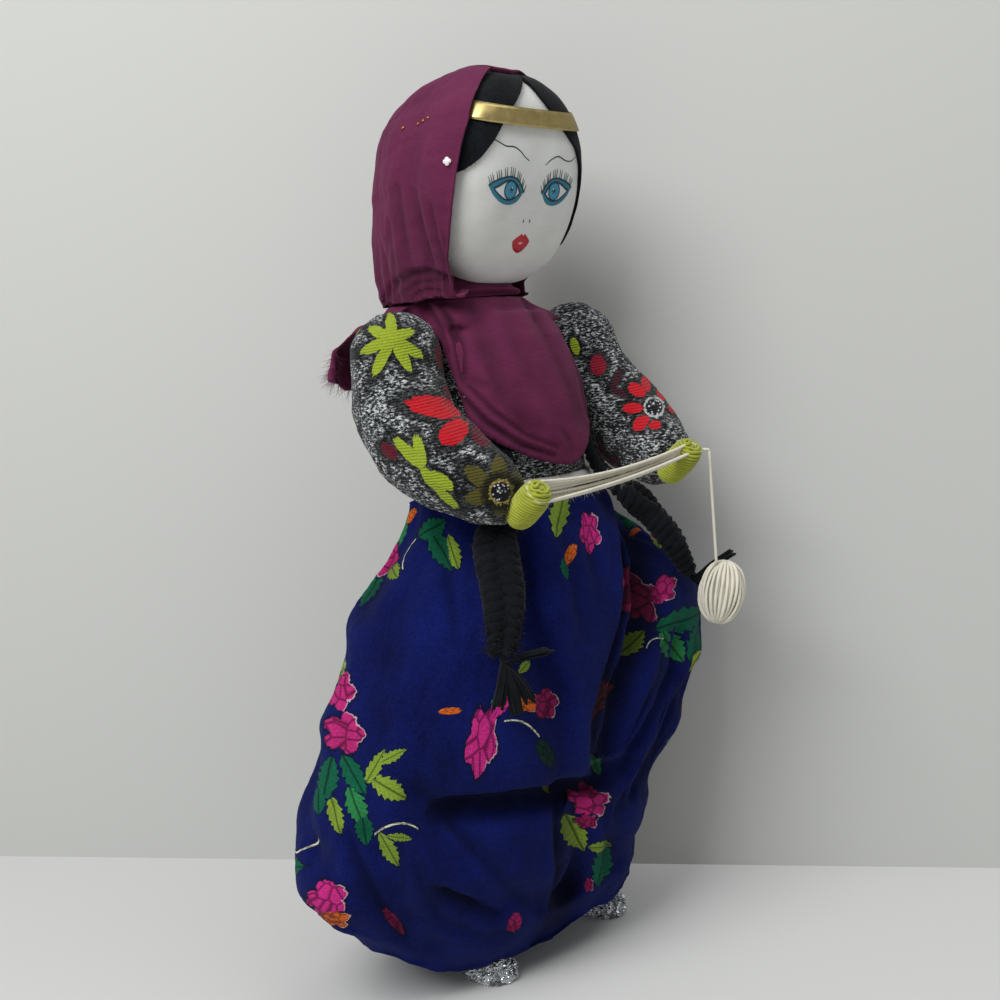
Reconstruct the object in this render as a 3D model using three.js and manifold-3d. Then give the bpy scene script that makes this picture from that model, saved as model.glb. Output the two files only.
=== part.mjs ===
// A hand-made cloth doll that winds wool: a stuffed calico body on a wire frame, dressed in a
// knitted blouse, baggy trousers and a headscarf, with a skein of wool held between both hands
// and the ball of the same wool hanging from the left one.
// Millimetres, +Z up. The doll faces -Y and its right hand is on the -X side. It stands on z = 0.

import * as THREE from 'three';
import * as BufferGeometryUtils from 'three/addons/utils/BufferGeometryUtils.js';
import Module from 'manifold-3d';

const wasm = await Module();
wasm.setup();

// Clearances
const gap = 0.3;               // between two pieces that touch
const turnGap = 0.5;           // between two pieces that turn on each other

// Wire frame
const wireRadius = 1.3;
const spineFootZ = 218;        // where the leg wires leave the spine
const spineTopInHead = 42;     // how far the spine reaches up into the head

// Stuffed body
const hipZ = 212;
const waistZ = 245;
const chestZ = 284;
const shoulderZ = 313;
const neckBaseZ = 325;
const hipHalfWidth = 38;
const waistHalfWidth = 44;
const chestHalfWidth = 39;
const shoulderHalfWidth = 34;
const waistFront = 36;
const chestFront = 40;
const waistBack = 33;
const chestBack = 33;
const bodyLean = 8;            // how far the neck sits behind the waist

// Neck
const neckRadius = 12.5;
const neckTopZ = 339;
const neckY = 14;

// Head
const headTilt = THREE.MathUtils.degToRad(18);
const headHalfWidth = 42.5;
const headHalfHeight = 50;
const faceDepth = 33;
const headBack = 45;
const chinRise = 14;           // from the neck joint to the chin, along the head
const neckStub = 9;            // stump of neck sewn to the head

// Hair, band and hood
const feltThickness = 1.5;
const foilThickness = 0.6;
const bandWidth = 8;
const bandBackY = 18;          // its ends tuck under the hood's edge
const bandRise = 84;           // from the chin's foot to the band's middle, along the head
const partRise = 99;           // where the hair parts
const hoodCloth = 1.6;
const hoodEdge = 13;           // how far the hood's edge stands in front of the head's middle
const hoodTurn = THREE.MathUtils.degToRad(18);  // its right edge comes further forward
const hoodSlackSide = 2.2;     // loose cloth at the sides
const hoodSlackBack = 9;       // and behind
const throatFront = 27;        // the scarf under the chin, in front of the neck's middle
const throatRight = 41;
const throatLeft = 23;
const beadRadius = 1.7;
const beadForward = 21;        // in front of the head's middle
const beadRise = 12;           // above it
const beadThickness = 1.4;

// Clothes on the body
const knitThickness = 1.3;
const blouseHemZ = 232;
const sashWidth = 8;
const sashThickness = 2.2;
const scarfCloth = 2.2;
const scarfLift = 6.8;         // room under the bib for the plaits
const rollHeight = 14;         // scarf wound round the neck
const bibTipZ = 255;
const bibHalfWidth = 40;
const capeDepth = 58;          // how far the scarf hangs down the back

// Arms
const shoulderX = 59.2;
const shoulderY = 3.3;
const sleeveRadius = 22;     // stuffed ball at the shoulder
const upperArmRadius = 24;
const elbowRadius = 22.5;
const cuffRadius = 13;
const elbowX = 67;
const elbowDrop = 46;
const elbowForward = 30;
const wristX = 52;
const wristForward = 67;
const wristDrop = { right: 68.5, left: 61 };
const handLength = 27;
const handRadius = 7.6;
const handYarn = 2.4;          // thickness of the wool wound on the hands
const handTurns = 7;
const handLift = THREE.MathUtils.degToRad(38);

// Skein and ball of wool
const skeinYarn = 1.6;
const skeinLoops = 5;
const skeinPitch = 2.15;
const skeinShift = 6.4;        // the loops lie on the hands' upper half
const skeinRound = 10.1;        // how far the loops' yarn lies from a hand's middle
const skeinSag = 5;
const strandYarn = 1.6;
const strandLength = 57;
const ballLength = 31;
const ballRadius = 11;
const ballYarn = 2.2;
const ballTurns = 8;

// Plaits
const plaitRadius = 9;
const plaitFlat = 2.2;         // half its thickness where the bib presses it flat
const plaitTopZ = 318;
const plaitHingeZ = 227;
const rightPlaitEndZ = 178;
const leftPlaitEndZ = 192;
const tuftLength = 27;

// Trousers
const trouserCloth = 2;
const trouserTopZ = 241;
const trouserFootZ = 14;
const trouserFootLeftZ = 26;
const pouchWidthLeft = 117;    // widest, from the middle to the doll's left
const pouchWidthRight = 134.5;
const pouchFront = 67;
const pouchBack = 68;
const pouchSag = 8;            // how far the right pouch hangs back at its foot
const foldDepth = 8;
const foldWidth = 9;
const lowRiseFrom = 65;        // the right pouch's underside rises from here outwards
const lowRiseTo = 135;
const lowRise = 28;
const leftRiseFrom = 20;       // the left leg's underside is higher, from here across
const leftRiseTo = 55;
const forkRise = 5;            // and a little between the legs
const forkWidth = 18;
const gatherCount = 13;

// Legs and feet
const legX = 44.5;
const rightFootY = -9;
const leftFootY = 1;
const hipSpread = 24;
const thighRadius = 12.5;
const ankleRadius = 7;
const footLength = 36;
const footWidth = 25;
const footHeight = 24;
const ankleRise = 1;           // room above a foot inside the trousers
const soleThickness = 7;

// Where the middle of the doll's box lies from the line between its feet
const boxMiddleX = -9.04;
const boxMiddleY = -14.1;

// Joining and cutting

function solid(geometry) {
  const bare = geometry.clone();
  bare.deleteAttribute('normal');
  bare.deleteAttribute('uv');
  const merged = BufferGeometryUtils.mergeVertices(bare, 1e-4);
  return new wasm.Manifold(new wasm.Mesh({
    numProp: 3,
    vertProperties: merged.attributes.position.array,
    triVerts: merged.index.array,
  }));
}

function shell(cut) {
  const mesh = cut.getMesh();
  const geometry = new THREE.BufferGeometry();
  geometry.setAttribute('position', new THREE.BufferAttribute(mesh.vertProperties, 3));
  geometry.setIndex(new THREE.BufferAttribute(mesh.triVerts, 1));
  return geometry;
}

// A closed skin over a row of rings, each a list of as many points, with a fan over each end.
function loft(rings) {
  const sides = rings[0].length;
  const points = rings.flat();
  const index = [];
  for (let k = 0; k < rings.length - 1; k++) {
    for (let i = 0; i < sides; i++) {
      const a = k * sides + i;
      const b = k * sides + (i + 1) % sides;
      index.push(a, b, b + sides, a, b + sides, a + sides);
    }
  }
  for (const end of [0, rings.length - 1]) {
    const middle = new THREE.Vector3();
    rings[end].forEach((p) => middle.addScaledVector(p, 1 / sides));
    points.push(middle);
    const hub = points.length - 1;
    for (let i = 0; i < sides; i++) {
      const a = end * sides + i;
      const b = end * sides + (i + 1) % sides;
      index.push(...(end === 0 ? [b, a, hub] : [a, b, hub]));
    }
  }
  let volume = 0;
  for (let i = 0; i < index.length; i += 3) {
    const [a, b, c] = [points[index[i]], points[index[i + 1]], points[index[i + 2]]];
    volume += a.dot(new THREE.Vector3().crossVectors(b, c));
  }
  if (volume < 0) index.reverse();
  const geometry = new THREE.BufferGeometry();
  geometry.setAttribute('position', new THREE.Float32BufferAttribute(
    points.flatMap((p) => [p.x, p.y, p.z]), 3));
  geometry.setIndex(index);
  return geometry;
}

// A limb, wire or strand along a smooth path. The section is round, or flattened along a normal.
function limb(path, radiusAt, { steps = 12, sides = 12, flatAt = null, normalAt = null } = {}) {
  const curve = new THREE.CatmullRomCurve3(path, false, 'centripetal');
  const frames = curve.computeFrenetFrames(steps, false);
  const rings = [];
  for (let k = 0; k <= steps; k++) {
    const t = k / steps;
    const middle = curve.getPointAt(t);
    const tangent = frames.tangents[k];
    const out = normalAt ? normalAt(middle) : frames.normals[k].clone();
    out.addScaledVector(tangent, -out.dot(tangent)).normalize();
    const across = new THREE.Vector3().crossVectors(tangent, out);
    const wide = radiusAt(t);
    const thick = flatAt ? flatAt(t) : wide;
    rings.push(Array.from({ length: sides }, (_, i) => {
      const angle = (2 * Math.PI * i) / sides;
      return middle.clone()
        .addScaledVector(across, wide * Math.cos(angle))
        .addScaledVector(out, thick * Math.sin(angle));
    }));
  }
  return loft(rings);
}

function ellipsePower(value, power) {
  return Math.sign(value) * Math.abs(value) ** (2 / power);
}

// Radius of a round end: nothing at the tip, full after one radius.
function roundEnd(distance, radius) {
  const inside = Math.min(Math.max(distance, 0.04 * radius), radius);
  return Math.sqrt(radius * radius - (radius - inside) ** 2);
}

// Soft step from 0 to 1 as the value goes from one bound to the other, in either direction
function smooth(from, to, value) {
  const share = THREE.MathUtils.clamp((value - from) / (to - from), 0, 1);
  return share * share * (3 - 2 * share);
}

// Smooth value of a size that is given at a few heights
function along(stations, z) {
  if (z <= stations[0][0]) return stations[0][1];
  for (let i = 1; i < stations.length; i++) {
    const [z0, v0] = stations[i - 1];
    const [z1, v1] = stations[i];
    if (z <= z1) return v0 + (v1 - v0) * (0.5 - 0.5 * Math.cos((Math.PI * (z - z0)) / (z1 - z0)));
  }
  return stations[stations.length - 1][1];
}

function levels(from, to, count) {
  return Array.from({ length: count + 1 }, (_, k) => from + ((to - from) * k) / count);
}

// Stuffed body

const blouseOut = gap + knitThickness;
const neckGrow = neckRadius + 4.5;
const bodySides = 18;

// Size of the body at a few heights: half width, depth in front, depth behind, how far its
// middle has moved back, and how much a larger copy also rises so that it stays clear above
const bodyShape = [
  [hipZ, hipHalfWidth, waistFront - 6, waistBack - 4, 0, 0],
  [waistZ - 14, waistHalfWidth - 1, waistFront - 1, waistBack - 1, 0, 0],
  [waistZ + 4, waistHalfWidth, waistFront, waistBack, 0.5, 0],
  [(waistZ + chestZ) / 2, 41.5, waistFront + 2.5, waistBack, 1.5, 0],
  [chestZ, chestHalfWidth, chestFront, chestBack, 3.5, 0],
  [(chestZ + shoulderZ) / 2, 37, chestFront - 2.5, chestBack - 1, 5, 0.1],
  [shoulderZ, shoulderHalfWidth, chestFront - 9, chestBack - 5, bodyLean - 1, 0.5],
  [shoulderZ + 7, shoulderHalfWidth - 8, chestFront - 17, chestBack - 8, bodyLean, 0.9],
  [neckBaseZ, neckGrow, neckGrow - 6, neckGrow + 5, bodyLean, 1],
];

// Sizes between those heights change evenly, so copies of different size stay parallel.
function bodyAt(z) {
  const last = bodyShape.length - 1;
  let k = 1;
  while (k < last && z > bodyShape[k][0]) k++;
  const [low, high] = [bodyShape[k - 1], bodyShape[k]];
  const share = (z - low[0]) / (high[0] - low[0]);
  const held = z > bodyShape[last][0] ? 1 : Math.max(share, 0);
  return low.map((value, i) => (i === 0 ? z : value + (high[i] - value) * held));
}

function bodyRing(z, grow, sides = bodySides) {
  const [, wide, front, back, middle, lift] = bodyAt(z);
  return Array.from({ length: sides }, (_, i) => {
    const angle = (2 * Math.PI * i) / sides;
    const depth = (Math.sin(angle) < 0 ? front : back) + grow;
    return new THREE.Vector3(
      (wide + grow) * Math.cos(angle), middle + depth * Math.sin(angle), z + lift * grow);
  });
}

function bodyLoft(from, to, grow) {
  const between = bodyShape.map(([z]) => z).filter((z) => z > from + 0.5 && z < to - 0.5);
  return solid(loft([from, ...between, to].map((z) => bodyRing(z, grow))));
}

const side = { right: -1, left: 1 };
const footY = { right: rightFootY, left: leftFootY };

// Wire frame: the spine and both leg wires, bound together at the hips

const spinePath = [
  new THREE.Vector3(0, 1, spineFootZ - 4),
  new THREE.Vector3(0, 2, waistZ),
  new THREE.Vector3(0, neckY - 6, shoulderZ - 16),
  new THREE.Vector3(0, neckY - 0.4, neckBaseZ - 8),
  new THREE.Vector3(0, neckY, neckBaseZ + 4),
  new THREE.Vector3(0, neckY, neckTopZ + 4),
  new THREE.Vector3(0, neckY, neckTopZ + spineTopInHead),
];

function legPath(name) {
  const s = side[name];
  return [
    new THREE.Vector3(0, 1, spineFootZ),
    new THREE.Vector3(s * hipSpread * 0.6, 1, spineFootZ - 3),
    new THREE.Vector3(s * hipSpread, 1, spineFootZ - 18),
    new THREE.Vector3(s * (hipSpread + legX) / 2, footY[name] / 2, spineFootZ * 0.5),
    new THREE.Vector3(s * legX, footY[name], footHeight + 12),
    new THREE.Vector3(s * legX, footY[name], soleThickness + 2),
  ];
}

function wireFrame(grow) {
  const radius = wireRadius + grow;
  let frame = solid(limb(spinePath, () => radius, { steps: 12, sides: 6 }));
  for (const name of ['right', 'left']) {
    frame = frame.add(solid(limb(legPath(name), () => radius * 0.98, { steps: 9, sides: 6 })));
  }
  return frame;
}

// Arm wires: straight through the shoulder, which is the line that both arms turn on

function armPath(name) {
  const s = side[name];
  const wristZ = shoulderZ - wristDrop[name];
  return [
    new THREE.Vector3(s * shoulderX, shoulderY, shoulderZ),
    new THREE.Vector3(s * (shoulderX + elbowX) / 2, shoulderY - 6, shoulderZ - elbowDrop * 0.45),
    new THREE.Vector3(s * elbowX, shoulderY - elbowForward * 0.72, shoulderZ - elbowDrop * 0.83),
    new THREE.Vector3(s * (elbowX - 5), shoulderY - elbowForward * 1.6, shoulderZ - elbowDrop * 1.2),
    new THREE.Vector3(s * wristX, shoulderY - wristForward, wristZ),
  ];
}

function armWire(name, grow) {
  const s = side[name];
  const path = armPath(name);
  const wrist = path[path.length - 1];
  const start = new THREE.Vector3(s * 9, shoulderY, shoulderZ);
  const straight = new THREE.Vector3(s * (clearX - 6), shoulderY, shoulderZ);
  const bend = new THREE.Vector3(s * (shoulderX - 9), shoulderY, shoulderZ);
  const turn = new THREE.Vector3(s * (shoulderX - 1), shoulderY - 2, shoulderZ - 5);
  const last = wrist.clone().lerp(path[path.length - 2], 0.2);
  const route = [start, straight, bend, turn, ...path.slice(1, -1), last];
  return solid(limb(route, () => wireRadius + grow, { steps: 11, sides: 6 }));
}

// Hands: a wire loop padded to a long bean, turned up at the wrist, with wool wound round it

const handAxis = new THREE.Vector3(0, -Math.cos(handLift), Math.sin(handLift));

function handMiddle(name) {
  const path = armPath(name);
  return path[path.length - 1].clone().add(new THREE.Vector3(-side[name] * 1.4, -10, -1));
}

function beanRadius(s, half, radius) {
  return radius * Math.max(0, 1 - Math.abs(s / half) ** 3.2) ** (1 / 3.2);
}

function handCore(name, grow) {
  const middle = handMiddle(name);
  const core = handRadius - handYarn;
  const half = handLength / 2 - handYarn;
  const rings = levels(-0.97, 0.97, 8).map((u) => {
    const r = beanRadius(u * half, half, core) + grow;
    const at = middle.clone().addScaledVector(handAxis, u * (half + grow));
    return ringRound(at, handAxis, r, 12);
  });
  return solid(loft(rings));
}

function ringRound(middle, axis, radius, sides) {
  const across = new THREE.Vector3(1, 0, 0);
  across.addScaledVector(axis, -across.dot(axis)).normalize();
  const up = new THREE.Vector3().crossVectors(axis, across);
  return Array.from({ length: sides }, (_, i) => {
    const angle = (2 * Math.PI * i) / sides;
    return middle.clone()
      .addScaledVector(across, radius * Math.cos(angle))
      .addScaledVector(up, radius * Math.sin(angle));
  });
}

// Wool wound round a bean in one unbroken helix. Its turns stand off the core and each other.
function winding(middle, axis, half, radiusAt, yarn, turns, stepsPerTurn, sides) {
  const across = new THREE.Vector3(1, 0, 0);
  across.addScaledVector(axis, -across.dot(axis)).normalize();
  const up = new THREE.Vector3().crossVectors(axis, across);
  const steps = turns * stepsPerTurn;
  const centres = [];
  for (let k = 0; k <= steps; k++) {
    const s = -half + (2 * half * k) / steps;
    const angle = (2 * Math.PI * k) / stepsPerTurn;
    const r = radiusAt(s);
    centres.push(middle.clone()
      .addScaledVector(axis, s)
      .addScaledVector(across, r * Math.cos(angle))
      .addScaledVector(up, r * Math.sin(angle)));
  }
  return tubeOn(centres, yarn / 2, sides, stepsPerTurn);
}

// A tube on a list of centres, with the least gap between any two stretches that lie apart
// along it. The ends run straight for one diameter.
function tubeOn(centres, radius, sides, stepsPerTurn) {
  const first = centres[0].clone().sub(centres[1]).setLength(2 * radius).add(centres[0]);
  const count = centres.length;
  const last = centres[count - 1].clone().sub(centres[count - 2])
    .setLength(2 * radius).add(centres[count - 1]);
  const line = [first, ...centres, last];
  let normal = new THREE.Vector3(0.3, 0.5, 0.8);
  const rings = line.map((middle, k) => {
    const before = line[Math.max(k - 1, 0)];
    const after = line[Math.min(k + 1, line.length - 1)];
    const tangent = after.clone().sub(before).normalize();
    normal = normal.clone().addScaledVector(tangent, -normal.dot(tangent)).normalize();
    const side2 = new THREE.Vector3().crossVectors(tangent, normal);
    return Array.from({ length: sides }, (_, i) => {
      const angle = (2 * Math.PI * i) / sides;
      return middle.clone()
        .addScaledVector(normal, radius * Math.cos(angle))
        .addScaledVector(side2, radius * Math.sin(angle));
    });
  });
  const fine = new THREE.CatmullRomCurve3(line).getPoints(line.length * 2);
  const apart = Math.round(stepsPerTurn * 0.6) * 2;
  let least = Infinity;
  for (let i = 0; i < fine.length; i++) {
    for (let j = i + apart; j < fine.length; j++) {
      least = Math.min(least, fine[i].distanceTo(fine[j]));
    }
  }
  return { geometry: loft(rings), least: least - 2 * radius };
}

const windingGaps = {};

function handWinding(name) {
  const half = handLength / 2 - handYarn * 1.1;
  const core = handRadius - handYarn;
  const wound = winding(handMiddle(name), handAxis, half,
    (s) => beanRadius(s, half * 1.12, core) + handYarn / 2 + gap + 0.15,
    handYarn, handTurns, 9, 4);
  windingGaps[`${name} hand`] = wound.least;
  return wound.geometry;
}

// Sleeves: a stuffed ball at the shoulder and a thick tube that narrows to the cuff

const seatX = shoulderHalfWidth + blouseOut + gap;
const clearX = chestHalfWidth + blouseOut + turnGap;

function sleevePath(name) {
  const path = armPath(name);
  const wrist = path[path.length - 1];
  const heading = wrist.clone().sub(path[path.length - 2]).normalize();
  return [...path.slice(0, -1), wrist.clone().addScaledVector(heading, 2.5)];
}

function sleeveAt(t) {
  return along([[0, sleeveRadius - 0.6], [0.28, upperArmRadius], [0.6, elbowRadius],
    [0.84, elbowRadius - 4], [0.97, cuffRadius], [1, cuffRadius * 0.72]], t);
}

// A block that reaches from the middle of the doll out to x, on one side
function inward(name, x) {
  const s = side[name];
  const beyond = new THREE.BoxGeometry(60, 160, 160);
  beyond.translate(s * (x - 30), shoulderY - 30, shoulderZ - 20);
  return solid(beyond);
}

function sleeve(name) {
  const tube = solid(limb(sleevePath(name), sleeveAt, { steps: 9, sides: 12 }));
  const ball = new THREE.SphereGeometry(sleeveRadius, 14, 10);
  ball.rotateZ(Math.PI / 2);
  ball.translate(side[name] * shoulderX, shoulderY, shoulderZ);
  return tube.subtract(inward(name, clearX))
    .add(solid(ball).subtract(inward(name, seatX)))
    .subtract(armWire(name, gap)).subtract(handSpace(name));
}

// Room for the wound hand, and for the skein round its upper half
function handSpace(name) {
  const middle = handMiddle(name);
  const half = handLength / 2 + gap;
  const bean = loft(levels(-1, 1, 8).map((u) => ringRound(
    middle.clone().addScaledVector(handAxis, u * half), handAxis,
    handRadius + gap + 1 - 4 * u ** 6, 10)));
  const upper = loft([-0.6, handLength * 0.62].map((s) => ringRound(
    middle.clone().addScaledVector(handAxis, s), handAxis, skeinRound + skeinYarn / 2 + gap + 0.8, 12)));
  return solid(bean).add(solid(upper));
}

// Room in the scarf for a shoulder as it turns, as wide as the upper arm
function shoulderRoom(name) {
  const s = side[name];
  const ball = new THREE.SphereGeometry(sleeveRadius + turnGap + 0.4, 14, 10);
  ball.rotateZ(Math.PI / 2);
  ball.translate(s * shoulderX, shoulderY, shoulderZ);
  const outer = clearX - gap;
  const round = new THREE.CylinderGeometry(upperArmRadius + 1.8, upperArmRadius + 1.8, 60, 20);
  round.rotateZ(Math.PI / 2);
  round.translate(s * (outer + 30), shoulderY, shoulderZ);
  const ahead = new THREE.BoxGeometry(60, 100, 160);
  ahead.translate(s * (outer + 30), shoulderY - 54, shoulderZ - 30);
  return solid(ball).add(solid(round)).add(solid(ahead));
}

// Skein: one strand carried round both hands, loop beside loop

function skein() {
  const hands = [handMiddle('left'), handMiddle('right')];
  const across = new THREE.Vector3().crossVectors(handAxis, new THREE.Vector3(1, 0, 0)).normalize();
  const arcSteps = 4;
  const runSteps = 5;
  const stepsPerTurn = 2 * (arcSteps + runSteps);
  const centres = [];
  for (let k = arcSteps / 2; k <= skeinLoops * stepsPerTurn; k++) {
    const half = Math.floor(k / (arcSteps + runSteps));
    const step = k % (arcSteps + runSteps);
    const here = half % 2;
    const out = here === 0 ? 1 : -1;
    const shift = skeinShift - skeinPitch * (k / stepsPerTurn - skeinLoops / 2);
    const centre = hands[here].clone();
    if (step <= arcSteps) {
      const angle = Math.PI * (step / arcSteps - 0.5);
      centre.x += out * skeinRound * Math.cos(angle);
      centre.addScaledVector(across, out * skeinRound * Math.sin(angle));
    } else {
      const share = (step - arcSteps) / runSteps;
      const bow = 4 * share * (1 - share);
      centre.lerp(hands[1 - here], share);
      centre.z -= skeinSag * bow;
      centre.addScaledVector(across, out * skeinRound * (1 - 0.4 * bow));
    }
    centres.push(centre.addScaledVector(handAxis, shift));
  }
  const wound = tubeOn(centres, skeinYarn / 2, 4, stepsPerTurn);
  windingGaps.skein = wound.least;
  return wound.geometry;
}

// Ball of wool, hung from the left hand by the strand that comes off the skein

// It hangs just under the skein's first end, at the outside of the left hand
const strandTop = handMiddle('left')
  .addScaledVector(new THREE.Vector3(1, 0, 0), skeinRound)
  .addScaledVector(handAxis, skeinShift + skeinPitch * (skeinLoops / 2 - 1 / 9))
  .add(new THREE.Vector3(0, -2 * skeinYarn * 0.62, -2 * skeinYarn * 0.79 - gap));
const strandBottom = strandTop.clone().add(new THREE.Vector3(0, 0, -strandLength));
const ballMiddle = strandBottom.clone().add(new THREE.Vector3(2.6, 0, -ballLength / 2 + 1.2));
const ballAxis = new THREE.Vector3(0.34, 0, 0.94).normalize();

function ballCore() {
  const inner = ballRadius - ballYarn;
  const half = ballLength / 2 - ballYarn;
  return loft(levels(-0.96, 0.96, 8).map((u) => ringRound(
    ballMiddle.clone().addScaledVector(ballAxis, u * half), ballAxis,
    inner * Math.sqrt(1 - u * u), 12)));
}

function ballWinding() {
  const half = ballLength / 2 - ballYarn;
  const inner = ballRadius - ballYarn;
  const wound = winding(ballMiddle, ballAxis, half,
    (s) => inner * Math.sqrt(Math.max(0, 1 - (s / (half * 1.06)) ** 2)) + ballYarn / 2 + gap + 0.1,
    ballYarn, ballTurns, 10, 4);
  windingGaps.ball = wound.least;
  return wound.geometry;
}

function strand() {
  const start = strandTop.clone().add(new THREE.Vector3(0, 0, -gap));
  const end = strandBottom.clone().add(new THREE.Vector3(0, 0, gap));
  const section = new THREE.Shape(Array.from({ length: 6 }, (_, i) => new THREE.Vector2(
    (strandYarn / 2) * Math.cos((Math.PI * i) / 3), (strandYarn / 2) * Math.sin((Math.PI * i) / 3))));
  return new THREE.ExtrudeGeometry(section, {
    steps: Math.round(strandLength / (strandYarn * 4)),
    extrudePath: new THREE.LineCurve3(start, end),
  });
}

// Head, built upright round its own axis and then bowed forward

const headJoint = new THREE.Vector3(0, neckY, neckTopZ - 3);
const bow = new THREE.Matrix4().makeRotationX(headTilt).setPosition(headJoint);
const headMiddleRise = chinRise + headHalfHeight;

function headRing(rise, grow, sides) {
  const u = Math.min(Math.max((rise - headMiddleRise) / (headHalfHeight + grow), -0.999), 0.999);
  const power = u < 0 ? 2.6 : 2.05;
  const profile = (1 - Math.abs(u) ** power) ** (1 / power);
  const chin = 4.5 * Math.max(0, -u) ** 1.5;
  return Array.from({ length: sides }, (_, i) => {
    const angle = (2 * Math.PI * i) / sides;
    const isFront = Math.sin(angle) < 0;
    const depth = isFront
      ? (faceDepth + grow) * profile ** 0.6 - chin * profile
      : (headBack + grow) * profile;
    const corner = isFront ? 3.6 : 2.2;
    return new THREE.Vector3(
      (headHalfWidth + grow) * profile * ellipsePower(Math.cos(angle), corner),
      depth * ellipsePower(Math.sin(angle), corner),
      rise);
  });
}

function headLoft(grow, sides = 22, steps = 11) {
  const rings = levels(0, 1, steps).map((t) => headRing(
    headMiddleRise - (headHalfHeight + grow) * Math.cos(Math.PI * (0.03 + 0.94 * t)), grow, sides));
  return solid(loft(rings));
}

function bowed(piece) {
  return piece.transform(bow.elements);
}

function column(radius, from, to, sides) {
  const pillar = new THREE.CylinderGeometry(radius, radius, to - from, sides);
  pillar.rotateX(Math.PI / 2);
  pillar.translate(0, neckY, (from + to) / 2);
  return solid(pillar);
}

const headSolid = bowed(headLoft(0)).add(
  column(neckRadius, neckTopZ + gap, neckTopZ + gap + neckStub + 6, 16));

// Hair: felt cut in two swathes that part over the forehead and run down beside the face

function hairOutline(s, grow) {
  const cut = new THREE.Shape();
  const top = partRise + chinRise + 12;
  const inner = s * (0.35 - grow);
  cut.moveTo(inner, top);
  cut.lineTo(inner, partRise + chinRise - 1 - grow);
  if (s < 0) {
    cut.quadraticCurveTo(-16, bandRise + chinRise - grow, -25, bandRise + chinRise - 11 - grow);
    cut.quadraticCurveTo(
      -31, bandRise + chinRise - 19 - grow, -headHalfWidth - 8, bandRise + chinRise - 29 - grow);
  } else {
    cut.quadraticCurveTo(15, bandRise + chinRise - 1, 31 - grow, bandRise + chinRise - 20);
    cut.quadraticCurveTo(38.5 - grow, bandRise + chinRise - 36, 36.5 - grow, chinRise + 22 - grow);
    cut.lineTo(headHalfWidth + 8, chinRise + 18 - grow);
  }
  cut.lineTo(s * (headHalfWidth + 8), top);
  return cut;
}

// A flat outline drawn in x and z, carried through the doll from y0 to y1
function slab(outline, y0, y1, curveSegments = 6) {
  const plate = new THREE.ExtrudeGeometry(outline, { depth: y1 - y0, bevelEnabled: false, curveSegments });
  plate.rotateX(Math.PI / 2);
  plate.translate(0, y1, 0);
  return solid(plate);
}

const hairSkin = headLoft(gap + feltThickness).subtract(headLoft(gap));
const hairBackY = -hoodEdge + 16;

function hair(s) {
  return bowed(hairSkin.intersect(slab(hairOutline(s, 0), -faceDepth - 12, hairBackY)));
}

function hairRoom(s) {
  return headLoft(gap + feltThickness + gap).intersect(slab(hairOutline(s, gap), -faceDepth - 14, hairBackY + gap));
}

// Gold foil band over the hair
const bandGrow = gap + feltThickness + gap;
const bandSkin = headLoft(bandGrow + foilThickness).subtract(headLoft(bandGrow));
const bandReach = faceDepth + 20 - bandBackY;
const bandBox = new THREE.BoxGeometry(2 * headHalfWidth + 20, bandReach, bandWidth);
bandBox.translate(0, -bandBackY - bandReach / 2, bandRise + chinRise);
const headband = bowed(bandSkin.intersect(solid(bandBox)));

// Hood: the scarf's upper part, loose over the head and open at the face and below

const hoodGrow = bandGrow + foilThickness + gap;
const hoodFootRise = -34;
const hoodSides = 22;

function hoodRing(rise, grow, sides) {
  const half = headHalfHeight + hoodGrow + grow;
  const u = Math.min((rise - headMiddleRise) / half, 0.998);
  const crown = u > 0 ? (1 - u ** 2.15) ** (1 / 2.15) : 1;
  const fall = Math.max(0, -u);
  const slack = smooth(0.95, 0.3, u);
  const wide = (headHalfWidth + hoodGrow + hoodSlackSide * slack - 4 * fall ** 2 + grow) * crown;
  const jaw = (1 - Math.min(fall, 0.93) ** 2.6) ** (1 / 2.6);
  const left = Math.max((headHalfWidth + hoodGrow) * jaw, throatLeft - hoodCloth) + grow;
  const front = (faceDepth + hoodGrow + grow) * crown ** 0.6;
  const back = (headBack + hoodGrow + hoodSlackBack * slack - 8 * fall ** 2 + grow) * crown;
  const backPower = THREE.MathUtils.lerp(2.2, 2.6, slack);
  return Array.from({ length: sides }, (_, i) => {
    const angle = (2 * Math.PI * i) / sides;
    const isFront = Math.sin(angle) < 0;
    const power = isFront ? 3.6 : backPower;
    return new THREE.Vector3(
      (Math.cos(angle) > 0 && u < 0 ? left : wide) * ellipsePower(Math.cos(angle), power),
      (isFront ? front : back) * ellipsePower(Math.sin(angle), power),
      rise);
  });
}

function hoodLoft(grow) {
  const top = headMiddleRise + headHalfHeight + hoodGrow + grow;
  const lower = levels(hoodFootRise - grow, headMiddleRise, 4);
  const upper = levels(0.12, 1, 6).map((t) => headMiddleRise
    + (top - headMiddleRise) * Math.sin((Math.PI / 2) * (0.02 + 0.965 * t)));
  return solid(loft([...lower, ...upper].map((rise) => hoodRing(rise, grow, hoodSides))));
}

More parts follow.
